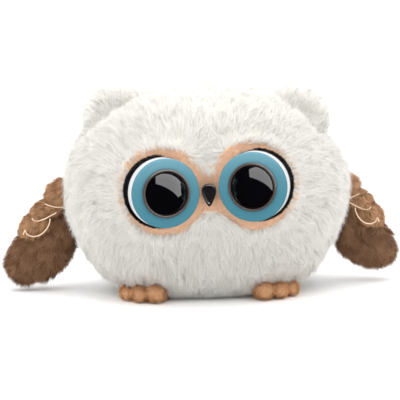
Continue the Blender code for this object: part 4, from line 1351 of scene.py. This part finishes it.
class Works:
    """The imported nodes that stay: shell, base, drive, boards and cells."""

    BY_SLOT = {"pile_fabric": Finishes.WHITE_CLOTH, "wadding": Finishes.WADDING, "mask_fabric": Finishes.PEACH_CLOTH,
               "wing_fabric": Finishes.BROWN_CLOTH, "foot_fabric": Finishes.TAN_CLOTH,
               "black_gloss": Finishes.BEAK, "lash_black": Finishes.LASH, "drum_white": Finishes.DRUM,
               "iris_blue": Finishes.BEZEL, "bezel_grey": Finishes.BEZEL, "shell_plastic": Finishes.SHELL,
               "base_plastic": Finishes.BASE, "gear_plastic": Finishes.GEAR, "board": Finishes.BOARD,
               "cell_wrap": Finishes.CELL, "cone_paper": Finishes.CONE, "steel": Finishes.STEEL}

    def __init__(self, frame: dict) -> None:
        """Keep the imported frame."""
        self.frame = frame

    def build(self) -> None:
        """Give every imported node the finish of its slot."""
        slots = {row["node"]: row["material_slot"] for row in self.frame["record"]["subparts"]}
        for name, node in self.frame["nodes"].items():
            material = Finishes.get(self.BY_SLOT[slots[name]])
            if not node.material_slots:
                node.data.materials.append(material)
            for holder in node.material_slots:
                holder.material = material
        LOG.info("finished %d packed nodes", len(slots))


@dataclass
class Studio:
    """A pale floor, an even white surround, soft lights and the camera."""

    distance: float = 0.8
    lens: float = 106.6
    yaw: float = 1.05
    elevation: float = 6.05
    roll: float = -1.46
    target: tuple[float, float] = (-0.00420, 0.06019)

    def floor(self) -> None:
        """A wide matt floor."""
        select_none()
        bpy.ops.mesh.primitive_plane_add(size=40.0)
        floor = bpy.context.object
        floor.name = "studio_floor"
        floor.data.materials.append(MouldedFinish("floor_matt", (0.955, 0.95, 0.947), (0.95, 0.945, 0.94),
                                                  0.95, 0.0, 0.0, 0.0).make())
        floor.visible_glossy = False

    def area(self, name: str, place: Colour, aim: Colour, size: tuple[float, float], watts: float,
             along: Colour = (1.0, 0.0, 0.0), diffuse: bool = True, glossy: bool = False) -> None:
        """One soft box.

        Args:
            name: The light's name.
            place: Where it stands, in metres.
            aim: What it points at.
            size: Its width and height.
            watts: Its power.
            along: The way its width runs.
            diffuse: Whether it lights matt surfaces.
            glossy: Whether gloss shows it.
        """
        data = bpy.data.lights.new(name, "AREA")
        data.shape = "RECTANGLE"
        data.size, data.size_y = size
        data.energy = watts
        lamp = bpy.data.objects.new(name, data)
        back = (Vector(place) - Vector(aim)).normalized()
        wide = (Vector(along) - back * back.dot(Vector(along))).normalized()
        lamp.matrix_world = Matrix.Translation(place) @ Matrix((wide, back.cross(wide), back)).transposed().to_4x4()
        lamp.visible_diffuse = diffuse
        lamp.visible_glossy = glossy
        bpy.context.scene.collection.objects.link(lamp)

    def lights(self) -> None:
        """The surround, the broad lights and the box that the domes show."""
        world = bpy.data.worlds.new("surround")
        world.use_nodes = True
        world.node_tree.nodes["Background"].inputs["Color"].default_value = (1.0, 1.0, 1.0, 1.0)
        world.node_tree.nodes["Background"].inputs["Strength"].default_value = 1.42
        world.cycles_visibility.glossy = False
        bpy.context.scene.world = world
        self.area("overhead", (0.0, -0.35, 1.7), (0.0, 0.0, 0.05), (1.8, 1.8), 16.0)
        self.area("shine", (0.62, -0.56, 0.78), (0.0, -0.086, 0.075), (3.6, 1.36), 104.0,
                  (1.659, 0.305, -0.909), False, True)

    def camera(self) -> None:
        """The camera, from its fitted angles."""
        yaw, elevation, roll = (math.radians(angle) for angle in (self.yaw, self.elevation, self.roll))
        look = Vector((math.sin(yaw) * math.cos(elevation), math.cos(yaw) * math.cos(elevation), -math.sin(elevation)))
        right = Vector((math.cos(yaw), -math.sin(yaw), 0.0))
        up = right.cross(look)
        turned_right = right * math.cos(roll) + up * math.sin(roll)
        turned_up = -right * math.sin(roll) + up * math.cos(roll)
        data = bpy.data.cameras.new("camera")
        data.lens, data.sensor_width = self.lens, 36.0
        data.clip_start = 0.05
        camera = bpy.data.objects.new("camera", data)
        place = Vector((self.target[0], 0.0, self.target[1])) - look * self.distance
        basis = Matrix((turned_right, turned_up, -look)).transposed().to_4x4()
        camera.matrix_world = Matrix.Translation(place) @ basis
        bpy.context.scene.collection.objects.link(camera)
        bpy.context.scene.camera = camera

    def build(self) -> None:
        """Set up everything that isn't the pet."""
        bpy.context.scene.view_settings.view_transform = "Standard"
        self.floor()
        self.lights()
        self.camera()


def main() -> None:
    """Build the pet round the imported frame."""
    logging.basicConfig(level=logging.INFO, format="%(name)s: %(message)s")
    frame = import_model()
    Studio().build()
    Works(frame).build()
    form, face = BodyForm(), FaceForm()
    Pelt(form, face).build()
    Mask(face, form).build()
    Beak().build()
    for side in Side:
        Eye(side, face).build()
        Ear(side).build()
        Foot(side).build()
        Wing(side, (1.06, 0.985) if side is Side.RIGHT else (0.92, 0.92)).build()


if __name__ == "__main__":
    main()
